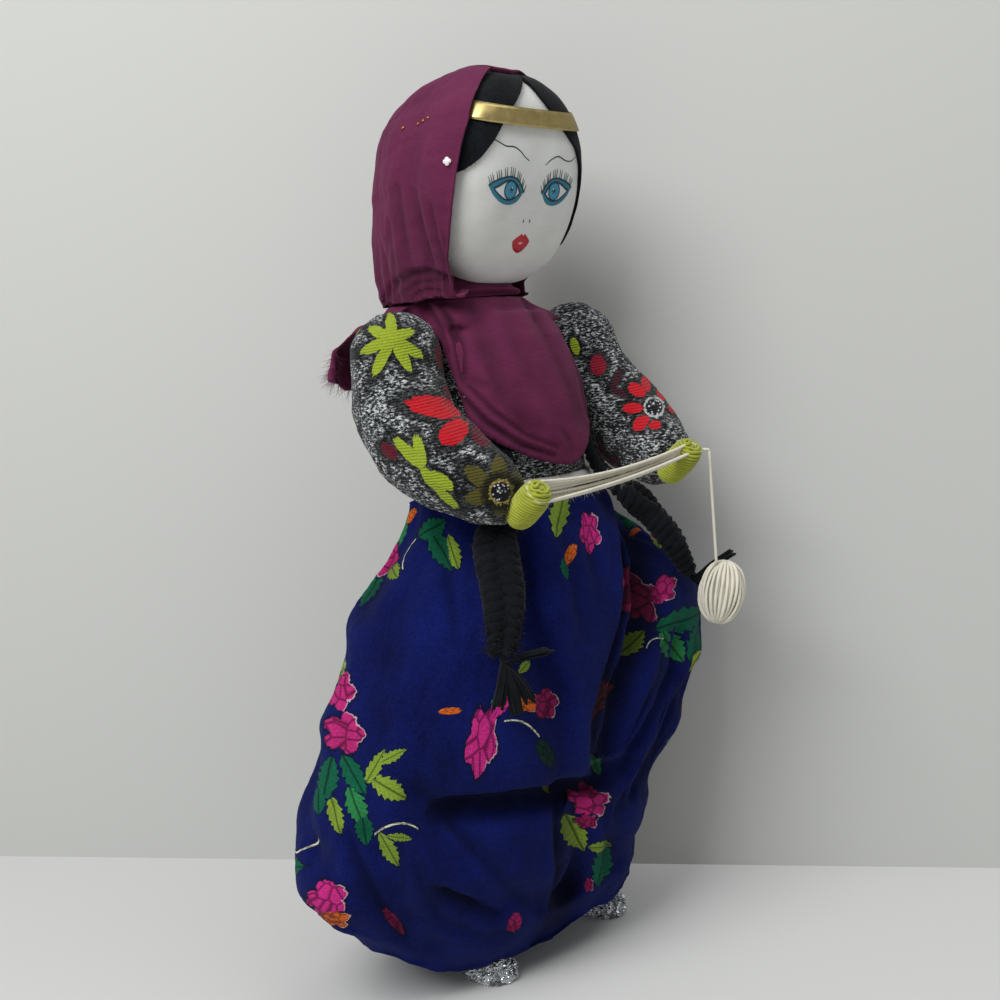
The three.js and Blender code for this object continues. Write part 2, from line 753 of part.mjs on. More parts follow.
// Side view of all that is cut away for the face: along the hood's edge, then straight down
// in front of the throat
function faceCut() {
  const open = new THREE.Shape();
  const edge = [[2, 124], [-hoodEdge + 5, 108], [-hoodEdge + 1, 94], [-hoodEdge, 76], [-hoodEdge, 30]];
  open.moveTo(-120, 124);
  edge.forEach(([y, rise]) => open.lineTo(y, rise));
  open.lineTo(-hoodEdge - 9, 2);
  open.lineTo(-120, -20);
  const plate = new THREE.ExtrudeGeometry(open, { depth: 160, bevelEnabled: false });
  plate.rotateZ(Math.PI / 2);
  plate.rotateY(Math.PI / 2);
  plate.translate(-80, 0, 0);
  plate.rotateZ(hoodTurn);
  return solid(plate);
}

const floorCut = new THREE.BoxGeometry(200, 200, 100);
floorCut.translate(0, 0, neckTopZ + gap - 50);

// Scarf under the chin and round the nape, up to the jaw
function throat() {
  const rings = [neckTopZ - 2, neckTopZ + 8, neckTopZ + 20, neckTopZ + 36].map((z, k) => {
    const swell = [0, 0, -1, -6][k];
    return Array.from({ length: 24 }, (_, i) => {
      const angle = (2 * Math.PI * i) / 24;
      const depth = Math.sin(angle) < 0 ? throatFront : hoodBackAtFoot;
      const wide = Math.cos(angle) < 0 ? throatRight + 12 : throatLeft;
      return new THREE.Vector3(
        (wide + swell) * ellipsePower(Math.cos(angle), 2.4),
        neckY + (depth + swell) * ellipsePower(Math.sin(angle), 2.4), z);
    });
  });
  return solid(loft(rings));
}

const hoodBackAtFoot = 62;
const hoodFull = hoodLoft(hoodCloth);
const headRoom = headLoft(gap).add(hairRoom(1)).add(hairRoom(-1));
const hood = bowed(hoodFull.subtract(hoodLoft(0)).subtract(faceCut()))
  .add(throat().intersect(bowed(hoodLoft(hoodCloth / 2))))
  .subtract(bowed(headRoom))
  .subtract(column(neckRadius + gap, neckTopZ - 5, neckTopZ + 30, 16))
  .subtract(solid(floorCut));

// Bead sewn to the hood beside the face: four round lobes
function bead() {
  const rise = headMiddleRise + beadRise;
  const ring = hoodRing(rise, hoodCloth, hoodSides);
  const at = ring.findIndex((p, i) => p.x < 0 && p.y >= -beadForward
    && ring[(i + 1) % hoodSides].y < -beadForward);
  const [a, b] = [ring[at], ring[(at + 1) % hoodSides]];
  const seat = a.clone().lerp(b, (-beadForward - a.y) / (b.y - a.y));
  const facing = Math.atan2(-(b.x - a.x), b.y - a.y);
  const outline = new THREE.Shape();
  const lobes = levels(0, 2 * Math.PI, 16).slice(0, -1);
  lobes.forEach((angle, i) => {
    const r = beadRadius * (0.78 + 0.22 * Math.cos(4 * angle));
    if (i === 0) outline.moveTo(r, 0);
    else outline.lineTo(r * Math.cos(angle), r * Math.sin(angle));
  });
  const lobed = new THREE.ExtrudeGeometry(outline, { depth: beadThickness, bevelEnabled: false });
  lobed.translate(0, 0, gap / 2);
  lobed.rotateY(Math.PI / 2);
  lobed.rotateZ(facing);
  lobed.translate(seat.x, seat.y, seat.z);
  return bowed(solid(lobed));
}

// Blouse, sash and neck

const bodyCore = bodyLoft(hipZ, neckBaseZ, 0);
const blouse = bodyLoft(blouseHemZ, neckBaseZ - 4, blouseOut)
  .subtract(bodyLoft(blouseHemZ - 2, neckBaseZ + 3, gap));

const sashInner = blouseOut + gap;
const sashFootZ = trouserTopZ + gap;
const sash = bodyLoft(sashFootZ, sashFootZ + sashWidth, sashInner + sashThickness)
  .subtract(bodyLoft(sashFootZ - 2, sashFootZ + sashWidth + 2, sashInner));

const neckPillar = column(neckRadius, neckBaseZ - 8, neckTopZ, 16);

// Scarf below the face: a thick roll round the neck, a bib over the chest and a cape behind

const scarfIn = blouseOut + scarfLift;

function bibOutline() {
  const shape = new THREE.Shape();
  shape.moveTo(bibHalfWidth * 0.4, neckTopZ - 8);
  shape.quadraticCurveTo(bibHalfWidth * 0.78, chestZ + 4, bibHalfWidth * 0.5, bibTipZ + 12);
  shape.quadraticCurveTo(bibHalfWidth * 0.3, bibTipZ, 1, bibTipZ);
  shape.quadraticCurveTo(-bibHalfWidth * 0.55, bibTipZ + 3, -bibHalfWidth, bibTipZ + 22);
  shape.quadraticCurveTo(-bibHalfWidth * 1.2, chestZ + 14, -bibHalfWidth * 1.1, neckTopZ - 8);
  return shape;
}

// Outline of the cape seen from behind: its tail lies on the doll's right shoulder
function capeOutline() {
  const shape = new THREE.Shape();
  const top = neckTopZ + 2;
  shape.moveTo(0, top);
  shape.lineTo(64, top);
  shape.lineTo(70, shoulderZ + 4);
  shape.quadraticCurveTo(48, neckTopZ - capeDepth + 18, 4, neckTopZ - capeDepth);
  shape.quadraticCurveTo(-44, neckTopZ - capeDepth + 14, -84, shoulderZ - 8);
  shape.lineTo(-88, shoulderZ + 6);
  shape.lineTo(-66, top);
  return shape;
}

// The scarf's outer face from the neck over the shoulders, larger by grow
function shawlLoft(grow) {
  const shape = [
    [chestZ - 6, 84, 70, 34, chestBack + 14],
    [shoulderZ - 12, 86, 72, 34, chestBack + 12],
    [shoulderZ + 6, 82, 62, 35, chestBack + 9],
    [shoulderZ + 17, 64, 42, 34, chestBack + 8],
    [neckTopZ - 4, 46, 27, 31, chestBack + 9],
    [neckTopZ - gap, throatRight, throatLeft, throatFront, chestBack + 12],
  ];
  return solid(loft(shape.map(([z, right, left, front, back]) => Array.from({ length: 24 }, (_, i) => {
    const angle = (2 * Math.PI * i) / 24;
    const depth = (Math.sin(angle) < 0 ? front : back) + grow;
    const wide = Math.cos(angle) < 0 ? right : left;
    return new THREE.Vector3(
      (wide + grow) * ellipsePower(Math.cos(angle), 2.3),
      neckY + depth * ellipsePower(Math.sin(angle), 2.3),
      z + grow * smooth(shoulderZ, neckTopZ - 4, z) * 0.6);
  }))));
}

function scarf() {
  const low = bibTipZ - 10;
  const chest = bodyLoft(low, neckBaseZ, scarfIn + scarfCloth)
    .subtract(bodyLoft(low - 2, neckBaseZ + 4, scarfIn));
  const bib = chest.intersect(slab(bibOutline(), -90, 6));
  const shawl = shawlLoft(0);
  const armFront = new THREE.BoxGeometry(2 * (shoulderX - sleeveRadius), 120, 60);
  armFront.translate(0, shoulderY - 50, neckTopZ - 30 + 8);
  const backHalf = new THREE.BoxGeometry(240, 120, 120);
  backHalf.translate(0, shoulderY + 4 + 60, neckTopZ - 50);
  const rollFloor = new THREE.BoxGeometry(240, 240, rollHeight + 10);
  rollFloor.translate(0, 0, neckTopZ - rollHeight + (rollHeight + 10) / 2);
  const round = shawl.intersect(solid(rollFloor))
    .intersect(solid(armFront).add(solid(backHalf)));
  const cape = shawl.subtract(shawlLoft(-scarfCloth - 0.6))
    .intersect(slab(capeOutline(), shoulderY + 4, 110));
  const ceiling = new THREE.BoxGeometry(240, 240, 40);
  ceiling.translate(0, 0, neckTopZ - gap + 20);
  return bib.add(round).add(cape)
    .subtract(bodyLoft(hipZ, neckBaseZ + 4, blouseOut + gap))
    .subtract(column(neckRadius + gap, neckBaseZ - 10, neckTopZ + 5, 16))
    .subtract(shoulderRoom('right'))
    .subtract(shoulderRoom('left'))
    .subtract(solid(ceiling));
}

// Plaits: flat under the bib, round below it, with a free end that swings on the trousers

function bodyOutward(point) {
  return new THREE.Vector3(point.x * 1.1, point.y - bodyAt(point.z)[4] - 4, 0).normalize();
}

// Point in front of the body at a given x and height
function onBody(x, z, grow) {
  const [, wide, front, , middle] = bodyAt(z);
  return new THREE.Vector3(x, middle - (front + grow) * Math.sqrt(1 - (x / (wide + grow)) ** 2), z);
}

function plaitHinge(name) {
  return new THREE.Vector3(side[name] * 50.5, -49, plaitHingeZ);
}

function plaitTop(name) {
  const s = side[name];
  const rest = blouseOut + gap + plaitFlat + 1;
  return [
    onBody(s * 21, plaitTopZ - 12, rest),
    onBody(s * 26, chestZ + 6, rest),
    onBody(s * 29, chestZ - 14, rest),
    onBody(s * 30, waistZ + 17, rest),
    onBody(s * 33, waistZ + 3, rest + 6),
    new THREE.Vector3(s * 41, -47, waistZ - 9),
    plaitHinge(name),
  ];
}

function plaitUpper(name) {
  const wide = (t) => THREE.MathUtils.lerp(7.5, plaitRadius * 0.86, smooth(0.4, 0.9, t));
  const thick = (t) => THREE.MathUtils.lerp(plaitFlat, plaitRadius * 0.62, smooth(0.68, 1, t));
  const full = solid(limb(plaitTop(name), wide,
    { steps: 9, sides: 10, flatAt: thick, normalAt: bodyOutward }));
  const socket = new THREE.SphereGeometry(plaitRadius + gap, 14, 10);
  const hinge = plaitHinge(name);
  socket.translate(hinge.x, hinge.y, hinge.z);
  return full.subtract(solid(socket));
}

const plaitEnd = {
  right: new THREE.Vector3(-66, -66, rightPlaitEndZ),
  left: new THREE.Vector3(68, -60, leftPlaitEndZ),
};

function plaitFree(name) {
  const hinge = plaitHinge(name);
  const end = plaitEnd[name];
  const middle = hinge.clone().lerp(end, 0.5).add(new THREE.Vector3(0, -3, 0));
  const top = hinge.clone().add(new THREE.Vector3(0, 0, plaitRadius * 0.9));
  const path = [top, hinge, middle, end];
  const length = new THREE.CatmullRomCurve3(path, false, 'centripetal').getLength();
  return limb(path, (t) => Math.min(roundEnd(t * length, plaitRadius * 0.95),
    THREE.MathUtils.lerp(plaitRadius, plaitRadius * 0.6, smooth(0.55, 1, t))),
  { steps: 9, sides: 10 });
}

// Loose ends of the yarn beyond the tie, each a tapered bundle
function tuft(name, bundles) {
  const start = plaitEnd[name].clone();
  const hinge = plaitHinge(name);
  const heading = start.clone().sub(hinge).normalize();
  const tie = start.clone().addScaledVector(heading, gap + 0.7);
  const knot = tie.clone().addScaledVector(heading, 4);
  let all = solid(limb([tie, knot.clone().addScaledVector(heading, 2)],
    () => plaitRadius * 0.55, { steps: 2, sides: 10 }));
  for (const [dx, dy, dz, share] of bundles) {
    const way = new THREE.Vector3(dx, dy, dz).normalize().multiplyScalar(tuftLength * share);
    const mid = knot.clone().addScaledVector(way, 0.45).add(new THREE.Vector3(0, -1.2, 0.8));
    all = all.add(solid(limb([knot, mid, knot.clone().add(way)],
      (t) => 2.3 + 1.2 * t, { steps: 3, sides: 5 })));
  }
  return all;
}

const tuftBundles = {
  right: [[0.1, -0.2, -1, 0.9], [-0.45, -0.15, -1, 0.75], [0.5, -0.2, -0.9, 0.85], [0.95, -0.35, 0.1, 0.8]],
  left: [[0.92, -0.1, 0.28, 1.1], [0.88, -0.08, -0.32, 1.05], [0.72, -0.08, -0.66, 0.95]],
};

// Trousers: gathered at the waist, two pouches that sag over the feet, the right one lower

const trouserLevels = [1, 0.95, 0.88, 0.79, 0.69, 0.59, 0.5, 0.43, 0.37, 0.29, 0.21, 0.13, 0.07, 0.02];
const trouserPower = 2.35;

// Fullest outline of the trousers: how far they reach each way at a share of their height
const pouchLeft = [[0, 0.485], [0.1, 0.49], [0.25, 0.54], [0.42, 0.78], [0.56, 0.98], [0.7, 1], [1, 0.46]];
const pouchRight = [[0, 0.78], [0.05, 0.93], [0.12, 1], [0.26, 0.97], [0.5, 0.87], [0.7, 0.73], [1, 0.395]];
const pouchAhead = [[0, 0.5], [0.1, 0.66], [0.25, 0.86], [0.5, 1], [0.7, 0.96], [1, 0.62]];
const pouchBehind = [[0, 0.6], [0.08, 0.86], [0.25, 1], [0.5, 0.95], [0.75, 0.8], [1, 0.54]];

// Angles round the trousers, closer together in front where most folds are
function trouserAngles(sides) {
  const back = Math.round(sides * 0.5);
  const [from, to] = [1.06 * Math.PI, 1.74 * Math.PI];
  const front = levels(from, to, sides - back);
  const behind = levels(to, from + 2 * Math.PI, back).slice(1, -1);
  return [...front, ...behind];
}

// Point of the outline at an angle and a share of the height, drawn in by inset and drop
function trouserPoint(angle, share, inset, drop) {
  const left = along(pouchLeft, share) * pouchWidthLeft;
  const right = along(pouchRight, share) * pouchWidthRight;
  const ahead = along(pouchAhead, share) * pouchFront;
  const behind = along(pouchBehind, share) * pouchBack;
  const shiftY = THREE.MathUtils.lerp(pouchSag, 0, smooth(0, 0.6, share));
  const c = Math.cos(angle);
  const s = Math.sin(angle);
  const wide = (c > 0 ? left : right) - inset - drop;
  const deep = (s < 0 ? ahead : behind) - inset - drop;
  const x = wide * ellipsePower(c, trouserPower);
  const lean = c < 0 ? shiftY * smooth(0, -0.6, c) : 0;
  return new THREE.Vector3(
    x,
    deep * ellipsePower(s, trouserPower) + lean,
    THREE.MathUtils.lerp(trouserFoot(x), trouserTopZ, share)
      + inset * (1 - 2 * smooth(0, 0.5, share)));
}

function trouserRing(share, inset, sides, folded) {
  return trouserAngles(sides).map((angle) => {
    const low = Math.cos(angle) > 0 ? 0.45 : 0.15;
    const deepest = foldDepth * (0.15 + 0.85 * smooth(0, low, share))
      * (1 - 0.5 * smooth(0.8, 0.94, share));
    return trouserPoint(angle, share, inset,
      folded ? Math.min(deepest, trouserFold(angle, share)) : deepest);
  });
}

// Height of the trousers' underside across the doll: low on its right, raised between the legs
function trouserFoot(x) {
  const across = smooth(-leftRiseFrom, leftRiseTo, x);
  const ends = lowRise * smooth(-lowRiseFrom, -lowRiseTo, x);
  return THREE.MathUtils.lerp(trouserFootZ, trouserFootLeftZ, across) + ends
    + forkRise * Math.exp(-((x / forkWidth) ** 2));
}

// Lines along which the cloth falls in. Their places are degrees round from the doll's left and
// shares of the height, then come their width and depth as shares of foldWidth and foldDepth.
const foldLines = [
  // the left pouch hangs behind the middle panel
  [1.1, 1, [[322, 0.9], [305, 0.84], [290, 0.77], [284, 0.7], [279, 0.62], [275, 0.54], [272, 0.45]]],
  // on the panel's other side, under the plait
  [1.2, 0.55, [[243, 0.86], [246, 0.76], [250, 0.66], [254, 0.58]]],
  // under the overhang
  [0.9, 0.95, [[226, 0.38], [238, 0.385], [252, 0.375], [266, 0.37], [276, 0.37]]],
  // down the front, right of the low bulge
  [0.9, 0.8, [[264, 0.36], [265, 0.28], [266, 0.2], [266, 0.12]]],
  // down across the right pouch
  [0.8, 0.5, [[205, 0.3], [213, 0.22], [219, 0.14], [226, 0.06]]],
  [0.7, 0.4, [[216, 0.4], [230, 0.31], [240, 0.22], [248, 0.16]]],
  // two slanting folds of the left pouch
  [0.7, 0.55, [[299, 0.62], [294, 0.54], [285, 0.46], [278, 0.4]]],
  [0.7, 0.55, [[313, 0.54], [302, 0.45], [292, 0.36], [287, 0.3]]],
  // sides and back
  [1, 0.6, [[345, 0.75], [340, 0.6], [344, 0.42], [350, 0.3]]],
  [1, 0.6, [[22, 0.8], [28, 0.62], [20, 0.45], [8, 0.34]]],
  [1.1, 0.7, [[75, 0.84], [68, 0.66], [58, 0.5], [62, 0.34]]],
  [1.1, 0.7, [[112, 0.8], [118, 0.6], [124, 0.42], [138, 0.28]]],
  [1, 0.5, [[160, 0.7], [155, 0.52], [166, 0.36], [178, 0.24]]],
  [1, 0.5, [[92, 0.3], [106, 0.22], [126, 0.16], [146, 0.14]]],
].map(([width, depth, places]) => ({
  width: width * foldWidth,
  depth: depth * foldDepth,
  line: places.map(([degrees, share]) => trouserPoint(THREE.MathUtils.degToRad(degrees), share, 0, 0)),
}));

// How far the cloth falls inside its fullest outline: gathers at the waist and the main folds
function trouserFold(angle, share) {
  const gathers = (0.5 + 0.5 * Math.cos(gatherCount * angle)) * 2.4 * smooth(0.62, 0.95, share);
  const here = trouserPoint(angle, share, 0, 0);
  const nearest = new THREE.Vector3();
  let fall = 0;
  for (const { width, depth, line } of foldLines) {
    let least = Infinity;
    for (let i = 1; i < line.length; i++) {
      new THREE.Line3(line[i - 1], line[i]).closestPointToPoint(here, true, nearest);
      least = Math.min(least, nearest.distanceTo(here));
    }
    fall = Math.max(fall, depth * Math.exp(-((least / width) ** 2)));
  }
  return gathers + fall;
}

function trouserLoft(inset, sides, folded) {
  const rings = trouserLevels.map((share) => trouserRing(share, inset, sides, folded));
  for (const shrink of [0.8, 0.45]) {
    rings.push(trouserRing(0, inset, sides, false).map((p) => {
      const x = p.x * shrink;
      return new THREE.Vector3(x, p.y * shrink, trouserFoot(x) + inset);
    }));
  }
  return solid(loft(rings));
}

function waistOpening(inner) {
  return bodyLoft(trouserTopZ - 12, trouserTopZ + 12, inner);
}

// Room for a wrapped foot, and above it for the ankle
function ankleHole(name, radius) {
  const [x, y] = [side[name] * legX, footY[name]];
  const above = footHeight + ankleRise;
  return solid(loft([-5, above].map((z) => ringRound(
    new THREE.Vector3(x, y, z), new THREE.Vector3(0, 0, 1), radius, 16))))
    .add(solid(loft([above - gap, above + 2 * ankleRadius].map((z) => ringRound(
      new THREE.Vector3(x, y, z), new THREE.Vector3(0, 0, 1), ankleRadius + turnGap * 5, 12)))));
}

const ankleRoom = footWidth / 2 + 2.5;

// Legs and wrapped feet

function leg(name, grow) {
  const path = legPath(name).slice(1);
  path[path.length - 1].z = soleThickness + gap;
  return solid(limb(path, (t) => THREE.MathUtils.lerp(thighRadius, ankleRadius, smooth(0.1, 0.92, t))
    * (t < 0.06 ? 0.8 : 1) + grow, { steps: 8, sides: 10 }));
}

function footWrap(name) {
  const rings = [[0, 0.86], [0.6, 0.97], [4, 1.02], [9, 0.97], [14, 0.86], [19, 0.8], [footHeight, 0.76]]
    .map(([z, share]) => {
      const long = THREE.MathUtils.lerp(footLength, footWidth, smooth(6, 18, z)) / 2;
      return Array.from({ length: 14 }, (_, i) => {
        const angle = (2 * Math.PI * i) / 14;
        const crumple = z > 0.7 ? 0.35 * Math.cos(5 * angle + z) : 0;
        return new THREE.Vector3(
          side[name] * legX + (footWidth / 2 * share + crumple) * Math.cos(angle),
          footY[name] + (long * share + crumple) * Math.sin(angle), z);
      });
    });
  return solid(loft(rings)).subtract(leg(name, gap));
}

const wires = wireFrame(0);
const wireRoom = wireFrame(gap);
const armWires = { right: armWire('right', 0), left: armWire('left', 0) };
const armRoom = { right: armWire('right', gap), left: armWire('left', gap) };

const torso = bodyCore.subtract(column(neckRadius + gap, neckBaseZ - 8, neckTopZ, 16))
  .subtract(wireRoom).subtract(armRoom.right).subtract(armRoom.left);
const torsoGrown = bodyLoft(hipZ - gap, neckBaseZ, gap);
const blouseRoom = bodyLoft(blouseHemZ - gap, neckBaseZ, blouseOut + gap);

const legs = {};
for (const name of ['right', 'left']) {
  legs[name] = leg(name, 0).subtract(torsoGrown).subtract(wireRoom);
}

const wadding = trouserLoft(trouserCloth + gap, 18, false)
  .subtract(leg('right', gap)).subtract(leg('left', gap))
  .subtract(torsoGrown).subtract(blouseRoom)
  .subtract(waistOpening(blouseOut + gap))
  .subtract(ankleHole('right', ankleRoom)).subtract(ankleHole('left', ankleRoom));
const trousers = trouserLoft(0, 36, true).subtract(trouserLoft(trouserCloth, 18, false))
  .subtract(waistOpening(blouseOut + gap))
  .subtract(ankleHole('right', ankleRoom)).subtract(ankleHole('left', ankleRoom));

// Colours as the doll shows them
const calico = { color: 0xcfd1cf, roughness: 0.9, metalness: 0 };
const steel = { color: 0x8d9094, roughness: 0.4, metalness: 1 };
const felt = { color: 0x14171b, roughness: 0.95, metalness: 0 };
const foil = { color: 0xc8a251, roughness: 0.25, metalness: 1 };
const plum = { color: 0x6b2f50, roughness: 0.75, metalness: 0 };
const knit = { color: 0x3a3b3e, roughness: 0.95, metalness: 0 };
const lime = { color: 0x9c9f2a, roughness: 0.95, metalness: 0 };
const cream = { color: 0xd6d0bd, roughness: 0.95, metalness: 0 };
const black = { color: 0x0e1218, roughness: 0.95, metalness: 0 };
const blue = { color: 0x16206a, roughness: 0.95, metalness: 0 };
const white = { color: 0xe4e4e2, roughness: 0.8, metalness: 0 };
const tinsel = { color: 0xa8abae, roughness: 0.35, metalness: 0.9 };

function place(parent, name, geometry, look) {
  const plain = geometry.clone();
  plain.deleteAttribute('normal');
  plain.deleteAttribute('uv');
  const mesh = new THREE.Mesh(plain, new THREE.MeshStandardMaterial(look));
  mesh.name = name;
  parent.add(mesh);
  return mesh;
}

const doll = new THREE.Group();
doll.position.set(-boxMiddleX, -boxMiddleY, 0);

const body = new THREE.Group();
doll.add(body);
place(body, 'wire_frame', shell(wires), steel);
place(body, 'torso', shell(torso), calico);
place(body, 'neck', shell(neckPillar.subtract(wireRoom)), calico);
place(body, 'blouse_body', shell(blouse.subtract(armRoom.right).subtract(armRoom.left)
  .subtract(column(neckRadius + gap, shoulderZ, neckTopZ, 16))), knit);
place(body, 'waist_sash', shell(sash), white);
place(body, 'scarf_wrap', shell(scarf()), plum);
place(body, 'trousers', shell(trousers), blue);
place(body, 'trouser_wadding', shell(wadding), calico);

const head = new THREE.Group();
doll.add(head);
place(head, 'head', shell(headSolid.subtract(wireRoom)), calico);
place(head, 'hair_right', shell(hair(-1)), felt);
place(head, 'hair_left', shell(hair(1)), felt);
place(head, 'headband', shell(headband), foil);
place(head, 'headscarf_hood', shell(hood), plum);
place(head, 'scarf_bead', shell(bead()), white);

for (const name of ['right', 'left']) {
  const arm = new THREE.Group();
  doll.add(arm);
  place(arm, `${name}_arm_wire`, shell(armWires[name]), steel);
  place(arm, `${name}_sleeve`, shell(sleeve(name)), knit);
  place(arm, `${name}_hand_core`, shell(handCore(name, 0).subtract(armRoom[name])), calico);
  place(arm, `${name}_hand_winding`, handWinding(name), lime);

  const limbs = new THREE.Group();
  doll.add(limbs);
  place(limbs, `${name}_leg`, shell(legs[name]), calico);
  place(limbs, `${name}_foot_wrap`, shell(footWrap(name)), tinsel);
  place(limbs, `${name}_plait_upper`, shell(plaitUpper(name)), black);
  place(limbs, `${name}_plait_end`, plaitFree(name), black);
  place(limbs, `${name}_plait_tuft`, shell(tuft(name, tuftBundles[name])), black);
}

const wool = new THREE.Group();
doll.add(wool);
place(wool, 'wool_skein', skein(), cream);
place(wool, 'hanging_strand', strand(), cream);
place(wool, 'yarn_ball_core', ballCore(), cream);
place(wool, 'yarn_ball_winding', ballWinding(), cream);

for (const [name, least] of Object.entries(windingGaps)) {
  console.log(`least gap of the ${name} winding to itself: ${least.toFixed(2)} mm`);
}

export default doll;
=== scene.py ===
from contextlib import contextmanager
import math
import random

import bmesh
import bpy
import numpy as np
from mathutils import Matrix, Vector
from mathutils.bvhtree import BVHTree


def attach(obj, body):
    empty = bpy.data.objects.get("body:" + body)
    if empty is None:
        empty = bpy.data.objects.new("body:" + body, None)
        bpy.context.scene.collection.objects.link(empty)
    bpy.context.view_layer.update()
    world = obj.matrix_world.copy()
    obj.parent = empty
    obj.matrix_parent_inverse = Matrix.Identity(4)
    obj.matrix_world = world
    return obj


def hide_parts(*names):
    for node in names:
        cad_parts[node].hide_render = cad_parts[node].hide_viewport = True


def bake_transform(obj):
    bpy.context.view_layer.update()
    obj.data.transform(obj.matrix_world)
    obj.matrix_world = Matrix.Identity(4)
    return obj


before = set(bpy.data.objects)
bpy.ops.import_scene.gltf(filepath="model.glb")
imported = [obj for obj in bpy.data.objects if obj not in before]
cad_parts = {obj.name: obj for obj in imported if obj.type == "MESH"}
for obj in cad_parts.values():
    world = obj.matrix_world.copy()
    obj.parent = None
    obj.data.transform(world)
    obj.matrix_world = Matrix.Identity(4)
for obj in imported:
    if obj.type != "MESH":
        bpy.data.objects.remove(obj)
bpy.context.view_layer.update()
scene = bpy.context.scene
scene.view_settings.view_transform = "Standard"

# Camera: it stands to the doll's right at chest height, looks a little down and is held
# slightly tilted, as the picture was taken. Sizes in metres and degrees.
picture_side = 1000
picture_focal = 1300
camera_place = np.array((-0.42086, -0.4897, 0.3132))
camera_yaw = math.radians(-40.18)
camera_pitch = math.radians(6.62)
camera_roll = math.radians(-4.71)
look = np.array((-math.sin(camera_yaw) * math.cos(camera_pitch),
                 math.cos(camera_yaw) * math.cos(camera_pitch), -math.sin(camera_pitch)))
level = np.cross(look, (0, 0, 1))
level /= np.linalg.norm(level)
upright = np.cross(level, look)
picture_right = math.cos(camera_roll) * level + math.sin(camera_roll) * upright
picture_up = -math.sin(camera_roll) * level + math.cos(camera_roll) * upright

camera = bpy.data.objects.new("camera", bpy.data.cameras.new("camera"))
scene.collection.objects.link(camera)
camera.data.sensor_width = 36
camera.data.lens = 36 * picture_focal / picture_side
camera.data.clip_start = 0.02
turn = Matrix((picture_right, picture_up, -look)).transposed().to_4x4()
camera.matrix_world = Matrix.Translation(camera_place) @ turn
scene.camera = camera


def in_picture(points):
    """Where points of the frame fall in the picture, in pixels from its upper left corner."""
    sight = points - camera_place
    depth = sight @ look
    return np.stack((picture_side / 2 + picture_focal * (sight @ picture_right) / depth,
                     picture_side / 2 - picture_focal * (sight @ picture_up) / depth), axis=-1)


def sight_through(pixel):
    """Direction from the camera through a pixel of the picture."""
    across = (pixel[0] - picture_side / 2) / picture_focal
    rise = (picture_side / 2 - pixel[1]) / picture_focal
    way = look + across * picture_right + rise * picture_up
    return way / np.linalg.norm(way)


# Free strand of wool between the left hand and the ball: two-ply knitting wool, spun so
# that its plies show as a fine twist. It hangs straight under the skein's last end.
doll_middle = np.array((9.04, 14.1, 0.0))  # from the doll's own middle to the frame, in mm


def placed(points):
    """Points in millimetres round the doll's own middle, as points of the frame in metres."""
    return (np.asarray(points, float) + doll_middle) / 1000


def linear(colour):
    """A colour written as six hex digits of sRGB, as linear values with alpha."""
    parts = [int(colour[i:i + 2], 16) / 255 for i in (1, 3, 5)]
    return [c / 12.92 if c <= 0.04045 else ((c + 0.055) / 1.055) ** 2.4 for c in parts] + [1]


def node(tree, kind, sockets, onto=None, **settings):
    """Adds one shader node with its settings and links. Each of its sockets takes a value or
    another node's output, and onto gives its own outputs to other nodes' inputs."""
    made = tree.nodes.new("ShaderNode" + kind)
    for word, value in settings.items():
        setattr(made, word, value)
    for socket, value in sockets.items():
        if isinstance(value, bpy.types.NodeSocket):
            tree.links.new(value, made.inputs[socket])
        else:
            made.inputs[socket].default_value = value
    for output, taker in (onto or {}).items():
        tree.links.new(made.outputs[output], taker)
    return made


def finish_called(name, roughness, metallic=0.0, sheen=0.0):
    """A new material with its surface shader, ready for the piece's own pattern."""
    material = bpy.data.materials.new(name)
    material.use_nodes = True
    tree = material.node_tree
    tree.nodes.clear()
    surface = node(tree, "BsdfPrincipled", {"Roughness": roughness, "Metallic": metallic})
    if roughness > 0.7 and not metallic:  # loose fibres throw back little light
        surface.inputs["Specular IOR Level"].default_value = 0.12
    if sheen:
        surface.inputs["Sheen Weight"].default_value = sheen
        surface.inputs["Sheen Roughness"].default_value = 0.5
    node(tree, "OutputMaterial", {"Surface": surface.outputs[0]})
    return material, tree, surface


def mesh_piece(name, corners, faces, material, smooth=True, **attributes):
    """A piece from its corners in metres and its faces, with any values that each corner holds."""
    mesh = bpy.data.meshes.new(name)
    mesh.from_pydata([tuple(c) for c in corners], [], [tuple(f) for f in faces])
    mesh.validate()
    if smooth:
        mesh.shade_smooth()
    for word, values in attributes.items():
        held = mesh.attributes.new(word, "FLOAT", "POINT")
        held.data.foreach_set("value", np.asarray(values, np.float32))
    mesh.materials.append(material)
    piece = bpy.data.objects.new(name, mesh)
    scene.collection.objects.link(piece)
    return piece


def grid_faces(rows, columns, closed=True, capped=False):
    """Faces of a grid of corners, row after row. closed joins the last column to the first."""
    width = columns if closed else columns - 1
    faces = [(r * columns + c, r * columns + (c + 1) % columns,
              (r + 1) * columns + (c + 1) % columns, (r + 1) * columns + c)
             for r in range(rows - 1) for c in range(width)]
    if capped:
        faces.append(tuple(range(columns))[::-1])
        faces.append(tuple((rows - 1) * columns + c for c in range(columns)))
    return faces


